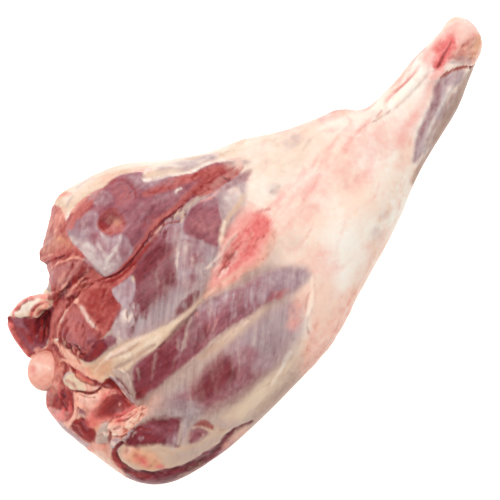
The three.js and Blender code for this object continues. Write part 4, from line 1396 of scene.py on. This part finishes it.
# The torn meat and fat round the ball, and the rim along the hip end
HIP_CUT: list[Mark] = [
    patch(PEACH, 3, 0.8, -196, 14, -180, 20, -164, 28, -158, 36, -151, 36, -150, 10, -150, -8, -143, -12,
        -144, -34, -148, -45, -168, -45, -182, -42, -196, -34),
    patch(CUT, 3, 0.9, -166, 26, -160, 36, -153, 36, -155, 22, -158, 14, -166, 18),
    # red meat below the ball, and over its lower edge
    patch(CUT, 2, 1, -192, 14, -184, 14, -172, 20, -163, 26, -156, 24, -157, 12, -167, 10, -168, 2, -165, -2,
        -170, -8, -180, -12, -192, -8),
    patch(PEACH, 4, 0.45, -182, 11, -172, 18, -163, 25, -158, 24, -160, 15, -170, 11, -180, 6, lumps=0.5),
    line(BRICK, 1.4, 2, 0.6, -157, 28, -158, 22, -160, 16, -166, 12),
    line(PEACH, 0.8, 1.4, 0.6, -158, 20, -162, 21, -164, 19.5, lift=0.5),
    patch(BRICK, 4, 0.85, -186, 6, -176, 8, -168, 6, -168, -4, -178, -7, -185, -3),
    line(FELL, 0.9, 1.8, 0.3, -185, 4, -181, 8, -179, 12, lift=0.4),
    patch(BLUSH, 3, 0.7, -195, 4, -188, 5, -186, -1, -182, -5, -186, -10, -194, -8),
    line(FELL, 0.8, 2, 0.35, -188, 2, -185, -3, -181, -7, lift=0.5),
    *threads(BLOOD, 68, 12, 40, 5, 0.8, 1.8, 0.45, -190, 0, -182, 12, -168, 16, -170, -6, -186, -8, lift=0.4),
    *threads(LEAN, 69, 8, 70, 5, 0.8, 1.8, 0.6, -188, -2, -180, 9, -172, 6, -176, -8, lift=-0.4),
    # lumps of fat
    patch(CREAM, 2, 1, -168, 11.5, -160, 12, -157.5, 7, -158, 0, -161, -5, -166, -1, -168, 5, lift=0.8,
        lumps=0.6),
    line(CUT, 0.7, 1.6, 0.45, -166, 9, -164.5, 4, -165.5, -1, ragged=0.9),
    line(SILVER, 0.9, 2, 0.5, -167, 11, -163, 11.5, -160, 10),
    line(BRICK, 2.2, 2, 1, -158, 14, -157.5, 6, -155, -1, -151.5, -9, lift=0.2),
    line(BLOOD, 1.4, 2, 0.6, -157.5, 10, -156.5, 3, -153.5, -4, lift=0.5, ragged=0.8),
    line(AMBER, 0.9, 1.8, 0.5, -158, 8, -157, 2, -154, -6, ragged=0.8),
    line(CREVICE_SHADE, 0.7, 1.3, 0.6, -154, 2, -153, -4, -150.5, -9, lift=-0.5),
    line(PEACH, 1.2, 1.8, 1, -159, 21, -156, 15, -156, 9, lift=0.5, lumps=0.5),
    # left pocket of dark meat with its grey edge, and painted shade deep in the pocket
    patch(BRICK, 3, 1, -187, -13, -181, -12, -175, -16, -173, -24, -177, -31, -183, -33, -187.5, -24),
    patch(CREVICE_SHADE, 3, 0.3, -186, -13, -177, -15, -175, -24, -180, -30, -186, -24, patchy=0.4),
    line(CUT, 0.8, 2, 0.5, -184, -14, -182, -20, -184, -26, ragged=1),
    line(MAUVE, 0.7, 1.6, 0.3, -179, -15, -178, -21, -180, -28, ragged=1, lift=0.3),
    line(SILVER, 2.2, 2.5, 0.85, -191.5, -6, -191, -14, -189.5, -22, -186.5, -33),
    line(MAUVE, 1, 2, 0.4, -190, -12, -189, -20, -187, -28),
    patch(MAUVE, 2, 0.8, -178, -11, -173, -10, -172, -15, -176, -18),
    line(CREAM, 0.8, 1.6, 0.5, -176.5, -12, -175.5, -16, -174, -20, lift=0.4),
    line(PEACH, 1, 1.6, 1, -188, -14, -180, -11, -172, -6, -168, 0, lift=0.8),
    patch(AMBER, 3, 0.75, -177, -21, -172, -19, -168, -22, -171, -28, -176, -29),
    # upper pink lump
    patch(PEACH, 1.8, 1, -173, -6, -167, -1, -162, -4, -158, -9, -152, -13, -151, -17, -158, -18, -168, -17.5,
        -173, -14, lift=1, lumps=1),
    patch(PALE_AND_HIGHLIGHT, 4, 0.35, -171, -7, -167, -4, -161, -8, -157, -13, -163, -16, -169, -14),
    patch(BLOOD, 6, 0.3, -170, -12, -160, -12, -152, -14, -154, -18, -168, -18),
    line(BRICK, 0.6, 1.3, 0.5, -167, -3, -165, -8, -161, -12, lift=-0.6),
    # crack over it, and the pit beside the curtain, with painted shade in both
    line(CREVICE_SHADE, 0.8, 1.3, 0.85, -167.5, 0, -164, -3.5, -161, -8, -156, -10, -151, -10, ragged=0.4, lift=-1),
    line(BRICK, 1.8, 2, 0.45, -164, -4, -160, -8.5, -154, -10.5, -149, -9.5),
    patch(BRICK, 1.8, 1, -153, -11, -146, -9, -142.5, -12, -144, -18, -144, -30, -147.5, -32, -148, -18,
        lift=-1.1),
    patch(CREVICE_SHADE, 2, 0.45, -149, -11, -144.5, -11, -144.5, -18, -146, -22, -148, -15, lift=-0.5),
    # the blood-red hollow, with painted shade at its bottom
    patch(BLOOD, 5, 0.75, -177, -17, -164, -16, -154, -15.5, -148, -17, -146, -28, -145, -35.5, -153, -36,
        -161, -31, -169, -27, -177, -27),
    patch(BRICK, 7, 0.95, -172, -20, -162, -18, -154, -18, -147, -18, -145.5, -28, -146, -34, -153, -34, -160,
        -30, -166, -26),
    patch(LEAN, 7, 0.3, -163, -22, -152, -20, -149, -27, -152, -32, -160, -29),
    patch(CREVICE_SHADE, 6, 0.45, -165, -23, -158, -20, -152, -22, -154, -28, -161, -27),
    line(BLOOD, 1, 2.5, 0.6, -160, -30.5, -155, -32, -150, -33, -146.5, -34.5),
    patch(MAUVE, 4, 0.2, -154, -18, -148.5, -18, -147, -24, -149, -30, -152, -25, lumps=0.8),
    spot(PEACH, 0.8, 1.4, 0.4, -153, -27, lift=0.4),
    line(PEACH, 0.9, 1.6, 0.5, -155, -17.5, -151, -18.5, -149, -21, lift=0.5),
    # torn fat under the hollow
    patch(FELL, 3, 1, -182, -33, -173, -29, -166, -26.5, -164, -33, -170, -38, -178, -40, lift=0.6,
        lumps=0.6),
    patch(PEACH, 1.8, 1, -170, -33, -162, -30, -154, -34.5, -146, -36, -140, -41, -147, -45.5, -158, -45,
        -168, -42, lift=0.8, lumps=1.3),
    patch(PALE_AND_HIGHLIGHT, 4, 0.45, -169, -35, -163, -34, -161, -38, -164, -41.5, -169, -40, lift=0.4),
    *threads(CUT, 76, 14, -20, 5, 0.7, 1.6, 0.5, -180, -30, -166, -27, -145, -38, -146, -45, -168, -43,
        lift=-0.4),
    *threads(PALE_AND_HIGHLIGHT, 77, 10, -25, 5, 0.8, 1.8, 0.5, -178, -33, -166, -30, -148, -38, -160, -44, lift=0.5),
    patch(CREAM, 2.5, 0.6, -160, -39, -153, -41, -146, -40, -150, -44, -158, -43, lift=0.4),
    line(BRICK, 0.7, 1.4, 0.7, -160, -34, -156, -37, -151, -38.5, lift=-0.8),
    patch(BLOOD, 4, 0.4, -163, -32, -153, -35, -145, -38, -150, -38.5, -160, -36, patchy=0.5),
    line(BRICK, 0.6, 1.3, 0.6, -150, -43.5, -146, -41, -143, -39, lift=-0.5),
    line(BRICK, 0.7, 1.3, 0.7, -175.5, -40.5, -172, -38.5, -168.5, -36, lift=-0.4),
    patch(SILVER, 1.6, 0.8, -177.5, -42, -172, -40, -168, -42.5, -171, -46, -176, -46.5, lift=0.6),
    spot(PALE_AND_HIGHLIGHT, 1.8, 2, 0.7, -174, -43, lift=0.5),
    # left edge strip of fat
    patch(PEACH, 2, 0.85, -196, -31, -186, -31, -179, -39, -177, -45, -182, -50, -182.5, -60, -185, -68, -196,
        -62),
    patch(PALE_AND_HIGHLIGHT, 3, 0.5, -190, -38, -184, -38, -183, -50, -186, -60, -192, -54),
    patch(AMBER, 5, 0.25, -190, -40, -184, -40, -183, -50, -188, -54),
    # the curtain: folds of membrane over the pit
    line(SILVER, 1.6, 1.6, 0.85, -143, -10, -143, -18, -145, -26, -145, -33, ragged=0.4, lift=0.8),
    line(PEACH, 0.8, 1.4, 0.6, -144.5, -15, -145.2, -22, -146.2, -30, lift=0.4),
    line(FELL, 2.8, 2.2, 0.8, -139, -9, -137, -15, -139.5, -22, -143, -31, ragged=0.4, lift=0.4),
    line(MAUVE, 1, 2.4, 0.5, -139.5, -14, -140, -20, -142.5, -27),
    line(PALE_AND_HIGHLIGHT, 0.7, 1.6, 0.45, -136, -10, -134, -15, -136.5, -20, -139.5, -25, lift=0.4),
    line(LEAN, 0.8, 1.6, 0.55, -141.4, -13, -141, -20, -143.4, -28, lift=-0.7),
    # back rim: fat inside, brown-purple outside, a dark red groove between, with painted shade in the groove
    # and in the hollow next to it
    patch(CREAM, 3, 0.9, -180, -50, -168, -47, -164, -55, -155, -60, -152, -66, -144, -72, -138, -80, -118,
        -84, -112, -92, -130, -94, -150, -90, -163, -80, -176, -70, -179, -60),
    patch(FELL, 6, 0.5, -158, -70, -146, -76, -132, -84, -112, -90, -128, -93, -148, -88, -158, -80),
    patch(PEACH, 5, 0.55, -178, -52, -170, -50, -164, -58, -159, -66, -160, -76, -172, -72, lumps=0.6),
    patch(AMBER, 6, 0.75, -176, -56, -166, -56, -160, -64, -160, -76, -168, -74, -174, -66),
    patch(BLOOD, 4.5, 0.7, -173, -59, -168, -58, -165.5, -66, -168, -70, -172, -67),
    patch(BLOOD, 3.5, 0.7, -165, -72, -160, -74, -160.5, -80, -165, -77),
    patch(FELL, 6, 0.5, -150, -76, -138, -82, -120, -86, -122, -91, -140, -89, -152, -82),
    line(CREAM, 1, 2, 0.6, -177, -53, -176, -60, -173, -68, lift=0.5),
    line(FELL, 1, 2.5, 0.5, -158, -63, -153, -67, -148, -73, lift=0.3),
    patch(LEAN, 4.5, 1, -169, -49, -162, -44, -150, -46, -140, -52, -130, -61, -133, -66, -144, -77, -149,
        -70, -156, -61, -167, -55, lift=-0.4, ragged=1.2),
    patch(MAUVE, 8, 0.7, -153, -48, -146, -52, -140, -57, -134, -63, -141, -70, -146, -66),
    *threads(BRICK, 78, 10, -42, 7, 0.8, 2.2, 0.4, -164, -48, -150, -48, -138, -62, -148, -66, lift=-0.2),
    patch(CREVICE_SHADE, 6, 0.22, -156, -50, -146, -54, -138, -60, -144, -67, -152, -60),
    patch(SILVER, 6, 0.4, -150, -64, -142, -66, -134, -61, -134, -68, -144, -76, -152, -68),
    line(SILVER, 1, 1.5, 0.7, -167, -45, -163, -46.5, -160, -44.5, -157, -46, lift=0.8, ragged=0.6),
    line(FELL, 0.7, 1.3, 0.6, -162, -49, -159.5, -47.5, -156.5, -48.5, lift=0.5),
    line(SILVER, 0.8, 1.4, 0.4, -159.5, -53.5, -157.5, -52.8, -156, -54.5, lift=0.5),
    line(FELL, 1.2, 2, 0.8, -144, -73, -138, -69, -131.5, -64, lift=0.5),
    line(SILVER, 0.8, 1.6, 0.7, -141, -74.5, -136, -70.5, -130, -66, lift=0.3),
    patch(MAUVE, 3.5, 0.9, -139, -77, -134, -72.5, -128, -71, -124, -74, -123, -80, -127, -81.5, -134, -80.5),
    patch(LEAN, 3, 0.3, -137, -77, -133, -74, -128, -76, -129, -81, -135, -80, patchy=0.6),
    line(FELL, 0.8, 1.6, 0.5, -137, -80, -132, -80.5, -127, -79, lift=0.4),
    patch(BRICK, 2.6, 0.75, -130, -70, -124, -71.5, -119, -75, -119.5, -81.5, -122.5, -82.5, -124.5, -77),
    line(CREAM, 0.7, 1.6, 0.7, -130.5, -70, -126.5, -74, -124.3, -78, -122.8, -82.5, ragged=0.3, lift=0.5),
    line(MAUVE, 5, 3, 0.9, -184, -66, -180, -75, -171, -82, -158, -89, -140, -94.5, -118, -97),
    line(LEAN, 4, 3.5, 0.95, -180, -70, -174, -78, -163, -85.5, -148, -92, -130, -96, ragged=1),
    line(LEAN, 2.4, 1.8, 1, -170, -46.5, -176, -46.5, -180.5, -50, -180.5, -58, -179, -67, -172, -75, -165,
        -79, -155, -86, -146, -90.5, -130, -93.5, -113, -92, -99, -96.5, ragged=0.8, lift=-0.8),
    line(LEAN, 1.5, 2.2, 0.6, -174, -47, -179.5, -51, -180, -59, -178, -67.5, -171, -76, -163, -81.5, -153,
        -87.5, -142, -92, -128, -94, ragged=0.8, lift=-0.4),
    line(CREVICE_SHADE, 0.9, 1.3, 0.65, -178, -66, -171, -74.5, -164, -79.5, -155, -86, -144, -91, -132, -93.3, -116,
        -92.3, ragged=1, lift=-0.4),
    line(BRICK, 1.6, 1.8, 0.85, -172, -46, -177, -46.5, -181, -50, -181, -58, -180, -66),
    line(BLOOD, 0.7, 1.8, 0.4, -177, -45.7, -181.8, -50, -182.2, -58),
    line(BRICK, 1.6, 2.4, 0.7, -181, -57, -180.3, -64, -178, -70, -173, -76, ragged=0.8),
    *threads(CREVICE_SHADE, 70, 18, 115, 6, 0.7, 1.6, 0.3, -183, -50, -178, -50, -178, -68, -168, -79, -174, -82, -183,
        -68),
    line(LEAN, 3, 4, 0.75, -176, -80, -164, -88, -148, -93.5, -134, -96),
    *threads(CREVICE_SHADE, 71, 22, -26, 9, 0.7, 1.6, 0.5, -170, -80, -156, -88, -138, -93, -130, -95, -150, -94, -172,
        -84),
    *threads(TAN, 72, 16, -20, 10, 0.8, 1.8, 0.2, -178, -80, -160, -88, -130, -96, -112, -97, -150, -97, -176,
        -88),
    line(PEACH, 1.4, 3, 0.5, -126, -96.5, -112, -96.5, -104, -98),
]


# The flap of rump meat beside the ball, with the cavity that the pelvis left and painted shade in the cavity
RUMP_FLAP: list[Mark] = [
    patch(MAUVE, 2, 1, -180, 34, -177, 56, -168, 74, -160, 72, -150, 56, -150, 44, -158, 34),
    patch(BRICK, 4, 0.65, -178, 36, -174, 56, -167, 68, -160, 62, -154, 46, -162, 36, patchy=0.4),
    patch(LEAN, 4, 1, -164, 38, -162, 50, -160, 58, -154, 58, -146, 50, -154, 38),
    patch(BRICK, 5, 0.6, -163, 46, -161, 56, -157, 57, -154, 50, -158, 43),
    line(MAUVE, 1.4, 3, 0.45, -167.5, 40, -167, 50, -165, 58),
    line(BRICK, 2.4, 2.2, 1, -174, 34, -172.5, 44, -171, 54, -168.5, 61, -165.5, 67, taper=False),
    line(BLOOD, 2, 2, 0.9, -174, 36, -172.5, 48, -170.5, 57, -167, 64, ragged=0.8, lift=0.5),
    line(CUT, 1, 2.2, 0.6, -172, 37, -170, 44, -169.5, 52, -167, 60, ragged=0.8),
    patch(CREAM, 1.6, 1, -165, 68, -161, 62, -157, 58.5, -152, 55, -151, 51, -144, 51, -138, 52, -134, 54,
        -132, 60, -140, 66, -148, 70, -160, 71, lift=0.6, lumps=1),
    patch(PALE_AND_HIGHLIGHT, 3, 0.7, -163, 66, -154, 65, -146, 64, -139, 60, -143, 58, -156, 59.5, lift=0.4),
    # lighter stripe along the top of the fat, partly painted highlight
    line(PALE_AND_HIGHLIGHT, 1.6, 4, 0.4, -160, 61, -152, 60, -145, 58),
    patch(PEACH, 2, 0.7, -152, 56, -146, 56, -139, 56.5, -136, 53, -144, 52, -151, 52),
    patch(TAN, 2, 0.6, -157, 57.5, -153, 56, -150, 52, -154, 53),
    line(BLOOD, 1, 1.8, 0.8, -153.5, 54, -149.5, 57, -144.5, 58, -140.5, 57, -137.5, 54.5, lift=-0.4),
    line(BRICK, 0.7, 1.3, 0.6, -150, 56.4, -146, 57.6, -142, 57, -139.5, 55.5, lift=-0.4),
    line(BLOOD, 0.8, 1.8, 0.5, -149, 52.6, -144, 53, -139, 55),
    line(BLOOD, 1.3, 1.8, 0.85, -162, 64.5, -157, 65.6, -151, 66, -146, 64.4, -141.5, 61, -137.5, 57.5,
        taper=False, lift=0.2),
    line(BRICK, 0.8, 1.5, 0.6, -158, 64.4, -152, 65, -146.5, 63.4, -142, 60.4, ragged=0.8, lift=-0.3),
    line(BLUSH, 1, 1.6, 0.8, -140, 60, -136, 57.5, -131, 56),
    line(BRICK, 1.4, 1.8, 0.8, -137, 56, -133, 54, -129, 54),
    patch(LEAN, 2, 1, -162, 36, -160, 44, -152, 50, -146, 51, -136, 51, -140, 47.5, -148, 43, -155, 37),
    patch(CREVICE_SHADE, 3, 0.75, -161, 37, -158, 42, -151, 48, -144, 50, -139, 50, -148, 45, -155, 38.5),
    line(BRICK, 0.9, 1.6, 0.8, -160, 40, -155, 44.5, -149, 48.5, lift=0.4),
    line(BRICK, 0.7, 1.4, 0.7, -157, 38.5, -152, 42.5, -146, 46, lift=0.3),
    line(BRICK, 0.6, 1.4, 0.6, -152, 49, -146, 49.2, -140, 51, lift=0.3),
    line(CUT, 0.7, 1.5, 0.4, -160, 37.5, -156, 39, -151, 43),
    spot(PEACH, 2.6, 2.5, 0.7, -165, 37.5, lift=0.5),
    line(PEACH, 0.9, 1.5, 1, -174, 35.5, -166, 36, -158, 34, lift=0.5),
    line(BRICK, 1.3, 1.8, 0.9, -158, 34, -155, 30, -156, 26),
    line(PALE_AND_HIGHLIGHT, 0.6, 1.2, 0.8, -152.5, 33, -150, 32),
]


# The fat-covered knee, and the shank with its tendons
KNEE_AND_SHANK: list[Mark] = [
    patch(CREAM, 16, 0.35, 18, 44, 36, 36, 50, 22, 60, 4, 40, -4, 24, 2, 20, 20),
    patch(PALE_AND_HIGHLIGHT, 10, 0.6, 8, 36, 30, 38, 40, 24, 24, 18, 12, 26),
    patch(BLUSH, 20, 0.3, 0, -10, 40, -8, 80, -12, 120, -20, 106, -36, 70, -26, 30, -28, 4, -30),
    patch(FELL, 12, 0.3, -14, -20, 0, -22, 12, -26, 8, -40, -4, -36, -14, -30),
    patch(AMBER, 10, 0.22, 0, -92, 50, -78, 96, -60, 110, -50, 80, -50, 50, -66, 10, -76),
    patch(BLUSH, 12, 0.45, 2, -44, 14, -46, 20, -60, 8, -68, -2, -60),
    line(CUT, 1.8, 6, 0.35, 56, -36, 61, -34, 68, -31.5),
    patch(BLUSH, 9, 0.4, 54, -36, 66, -30, 90, -26, 100, -34, 74, -40, 60, -42),
    patch(SILVER, 6, 0.4, 44, 18, 50, 22, 60, 16, 56, 10, 46, 12),
    line(TAN, 1, 3, 0.45, 52, 5.5, 57, 7, 61, 7.5),
    spot(SILVER, 4, 6, 0.4, 19, 1),
    line(TAN, 0.9, 2.4, 0.4, 16, 1, 20, -1.5, 23, 0),
    spot(SILVER, 2.4, 4, 0.45, 75, 11),
    spot(SILVER, 4, 9, 0.3, 48, -68),
    spot(SILVER, 4, 9, 0.25, 60, -64),
    spot(BLUSH, 4, 7, 0.4, 93, -22),
    line(MAUVE, 1.4, 3, 0.6, 82, 11.5, 88, 8.6, 92, 5, 95, 1, lift=0.4),
    line(SILVER, 2, 4, 0.4, 72, 13.5, 80, 10, 88, 5),
    line(BLUSH, 0.9, 3, 0.5, 30, 40, 40, 35, 48, 26, 58, 19, 74, 15, 86, 10),
    line(BLUSH, 0.8, 4, 0.35, 8, -5, 20, -6, 40, -6, 60, -5, 76, -3),
    line(BLUSH, 0.9, 1.8, 0.9, 1, -2, 5, -4, 9, -7, lift=-0.4),
    line(CUT, 0.8, 2, 0.25, 78, -12, 86, -10.5, 94, -12.5, 101, -14.5, lift=-0.2),
    # tan in the crease, partly painted shade
    line(TAN, 0.8, 2, 0.4, 98, -14, 106, -15, 112, -16.5, lift=-0.3),
    line(CUT, 0.8, 2, 0.2, 110, -15.5, 116, -18, 126, -18.5, 140, -18.3, 148, -17, lift=-0.2),
    line(CUT, 0.9, 2.2, 0.6, 101, -12.8, 105, -12.3, 109, -12.4, lift=-0.3),
    line(BLUSH, 1.2, 2, 0.7, 99, -3.6, 106, -4.5, 110, -4.5),
    line(BLUSH, 1.4, 3, 0.7, 112, -11, 122, -10, 134, -10, 146, -8.5, lift=-0.5),
    line(CUT, 0.8, 2, 0.35, 121, -10, 126, -10, 134, -10.3, 143, -9),
    line(BLUSH, 1.4, 3, 0.6, 120, -5, 136, -6, 150, -3, 158, -4),
    line(PEACH, 3, 5, 0.45, 60, 14, 74, 12, 86, 8, 94, 1, 104, -3, 124, -4, 142, -4),
    line(PALE_AND_HIGHLIGHT, 2.2, 3, 0.8, 112, -14, 124, -14, 140, -13.5, 150, -12, lift=0.8),
    patch(BLUSH, 8, 0.6, 96, -32, 120, -27, 146, -21, 146, -26, 120, -34, 100, -42),
    patch(PEACH, 8, 0.4, 84, -44, 100, -40, 116, -36, 104, -46, 90, -52),
    patch(SILVER, 4, 0.9, 96, -51, 106, -44, 118, -38, 134, -31, 148, -25, 160, -27, 150, -34, 130, -40, 112,
        -48, 100, -54, lift=-0.3),
    patch(MAUVE, 4, 0.6, 106, -45.5, 120, -38.5, 136, -31, 148, -26.5, 148, -30.5, 130, -37.5, 114, -45),
    line(ASH, 1.4, 3, 0.8, 106, -52, 120, -46.5, 134, -41.5, 150, -36, 164, -32, lift=0.6),
    line(MAUVE, 1.6, 4, 0.4, 112, -51, 126, -46.5, 140, -42, 156, -38),
    # tan along the shank's lower edge, partly painted shade of the side turned away from the lamp
    line(TAN, 3.4, 4, 0.95, 90, -62, 110, -55.5, 130, -50, 150, -44, 168, -38, taper=False),
    patch(ASH, 3, 0.7, 98, -57, 112, -51.5, 130, -45.5, 150, -39, 166, -33.5, 168, -40, 150, -47, 130, -53,
        108, -59),
    line(TAN, 2.6, 4, 0.75, 96, -60, 112, -54.5, 132, -48.5, 152, -42.5, 168, -37, taper=False),
    line(CREAM, 0.8, 2, 0.5, 110, -50.5, 124, -45.5, 138, -41, 150, -37, lift=0.3),
    line(MAUVE, 0.9, 2.5, 0.35, 122, -45.5, 136, -42, 150, -38.5, lift=-0.3),
    *threads(BLUSH, 61, 26, 8, 18, 0.9, 3, 0.3, 2, -4, 60, -2, 90, -8, 140, -20, 60, -30, 6, -30),
    *threads(ASH, 63, 18, 24, 16, 0.8, 2, 0.25, 100, -48, 150, -28, 164, -32, 110, -52, lift=0.2),
]


# The end of the shank, with the slit where the gambrel cord passed
HOCK: list[Mark] = [
    patch(SILVER, 3, 0.7, 150, -26, 160, -26, 168, -32, 160, -37, 148, -33),
    patch(PEACH, 4, 0.8, 164, -19, 180, -17, 194, -22, 188, -34, 174, -38, 168, -28),
    patch(FELL, 5, 0.5, 163, -19, 178, -17.5, 187, -21, 184, -28, 176, -30, 168, -27),
    patch(CUT, 5, 0.4, 168, -20, 178, -19, 183, -23, 176, -27, 169, -24),
    patch(AMBER, 4, 0.5, 172, -30, 180, -32, 190, -26, 191, -20, 184, -24, 176, -27),
    *threads(CUT, 80, 10, -30, 7, 0.8, 1.8, 0.35, 164, -19, 182, -18, 186, -24, 172, -32, lift=-0.4),
    line(SILVER, 1, 2, 0.7, 161, -20, 165, -24, 169, -29, lift=0.4),
    patch(BLUSH, 8, 0.6, 150, -4, 172, -3, 188, -5, 194, -14, 190, -22, 170, -19, 152, -18, 146, -12),
    patch(BLOOD, 9, 0.55, 154, -12, 162, -6, 176, -6, 182, -11, 176, -15, 164, -18, 154, -20),
    patch(CREAM, 4, 0.5, 176, 2, 186, 2, 190, -6, 182, -4, 174, -2),
    patch(BLUSH, 2.5, 0.8, 144, -19, 149, -19, 156, -21, 154, -26, 148, -25, lift=0.8),
    line(CUT, 0.9, 1.8, 0.9, 150, -25.5, 157, -25.5, 164, -28, 168.5, -31.5, 171.5, -35, lift=-1.4),
    line(BRICK, 1, 1.8, 0.9, 169, -33.5, 172, -35, 177, -35, lift=-0.6),
    line(BRICK, 0.8, 2, 0.5, 170, -22, 173, -24, 176, -22),
    line(MAUVE, 1.4, 3, 0.45, 166, -22, 172, -26, 176, -32, lift=-0.5),
    line(CUT, 1, 2.4, 0.5, 163, -19.5, 170, -21, 178, -20, 185, -22, lift=-0.6),
    # tan in the groove, partly painted shade
    line(TAN, 1.2, 2.6, 0.35, 176, -24, 182, -25, 186, -23, lift=-0.4),
    line(AMBER, 1.2, 2.6, 0.4, 178, -30, 183, -27, 188, -22, lift=0.5),
    line(SILVER, 1, 2, 0.5, 168, -24, 171, -28, 172, -32, lift=0.4),
    patch(PEACH, 4, 0.35, 172, -20, 180, -19, 184, -24, 178, -27, 172, -24),
    line(BLOOD, 3.8, 5, 1, 151, -19, 160, -16.2, 166, -14.2, 175, -12, lift=-0.4),
    line(BRICK, 0.9, 1.4, 0.85, 153, -18.6, 160, -16.4, 166, -14.6, 173, -12.4, lift=-0.15),
    patch(BLOOD, 6, 0.5, 158, -8, 168, -7, 178, -10, 172, -14, 162, -15),
]


ALL_MARKS = (
    OUTER_SIDE,
    GROUNDS,
    FRONT_THIGH,
    CUT_FACES,
    INNER_THIGH,
    BACK_THIGH,
    HIP_CUT,
    RUMP_FLAP,
    KNEE_AND_SHANK,
    HOCK,
)


# ---- the setting ----
@dataclass
class Studio:
    """A pale floor, soft light from above, and the camera that looks straight down.

    Args:
        centre: the middle of the view on the leg, in metres.
        away: how far the camera is from it, in metres.
        seen: how wide the view is there, in metres.
        turn: how far the view is turned about Z, in degrees.
        sensor: the camera's film width, in millimetres.
        far: how far the camera sees, in metres.
        floor_size: half the side of the floor, in metres.
        glow: how strongly the floor shines.
        room: how strongly the room shines.
        lamp_at: where the lamp hangs, in metres.
        lamp_size: its width, in metres.
        lamp_power: its power, in watts.
    """

    centre: Triple = (-0.01946, -0.01594, 0.035)
    away: float = 6.0
    seen: float = 0.3316
    turn: float = -45.0
    sensor: float = 36.0
    far: float = 20
    floor_size: float = 3.0
    glow: float = 0.55
    room: float = 0.5
    lamp_at: Triple = (0.12, 0.4, 1.45)
    lamp_size: float = 0.6
    lamp_power: float = 12.5

    def build(self) -> None:
        """Sets up the floor, the lights and the camera."""
        self.floor()
        self.lights()
        self.camera()

    def floor(self) -> None:
        """Lays the floor."""
        shape = bmesh.new()
        bmesh.ops.create_grid(shape, x_segments=1, y_segments=1, size=self.floor_size)
        mesh = bpy.data.meshes.new("floor")
        shape.to_mesh(mesh)
        shape.free()
        recipe = Recipe("pale_floor")
        shader = recipe.node(
            "ShaderNodeBsdfPrincipled",
            None,
            {
                "Base Color": (0.95, 0.95, 0.95, 1),
                "Roughness": 0.9,
                "Specular IOR Level": 0.1,
                "Emission Color": (1, 1, 1, 1),
                "Emission Strength": self.glow,
            },
        )
        recipe.node("ShaderNodeOutputMaterial", None, {"Surface": shader.outputs[0]})
        mesh.materials.append(recipe.material)
        floor = bpy.data.objects.new("floor", mesh)
        bpy.context.scene.collection.objects.link(floor)

    def lights(self) -> None:
        """Hangs a large soft lamp over the leg's front side, in an evenly lit room."""
        world = bpy.data.worlds.new("room")
        world.use_nodes = True
        background = world.node_tree.nodes["Background"].inputs
        background["Color"].default_value = (1, 1, 1, 1)
        background["Strength"].default_value = self.room
        bpy.context.scene.world = world
        data = bpy.data.lights.new("soft_lamp", "AREA")
        data.shape = "DISK"
        data.size = self.lamp_size
        data.energy = self.lamp_power
        lamp = bpy.data.objects.new("soft_lamp", data)
        place = Vector(self.lamp_at)
        lamp.matrix_world = Matrix.Translation(place) @ place.to_track_quat("Z", "Y").to_matrix().to_4x4()
        bpy.context.scene.collection.objects.link(lamp)
        bpy.context.scene.view_settings.view_transform = "Standard"

    def camera(self) -> None:
        """Hangs the camera over the leg."""
        data = bpy.data.cameras.new("camera")
        data.sensor_width = self.sensor
        data.lens = self.sensor * self.away / self.seen
        data.clip_end = self.far
        camera = bpy.data.objects.new("camera", data)
        camera.location = Vector(self.centre) + Vector((0, 0, self.away))
        camera.rotation_euler = (0, 0, math.radians(self.turn))
        bpy.context.scene.collection.objects.link(camera)
        bpy.context.scene.camera = camera


def main() -> None:
    """Builds the setting and the pieces, and writes down how large they are."""
    logging.basicConfig(level=logging.INFO)
    Studio().build()
    flesh = FleshFinish("flesh")
    Haunch().build(flesh)
    HipBall().build(flesh)


if __name__ == "__main__":
    main()
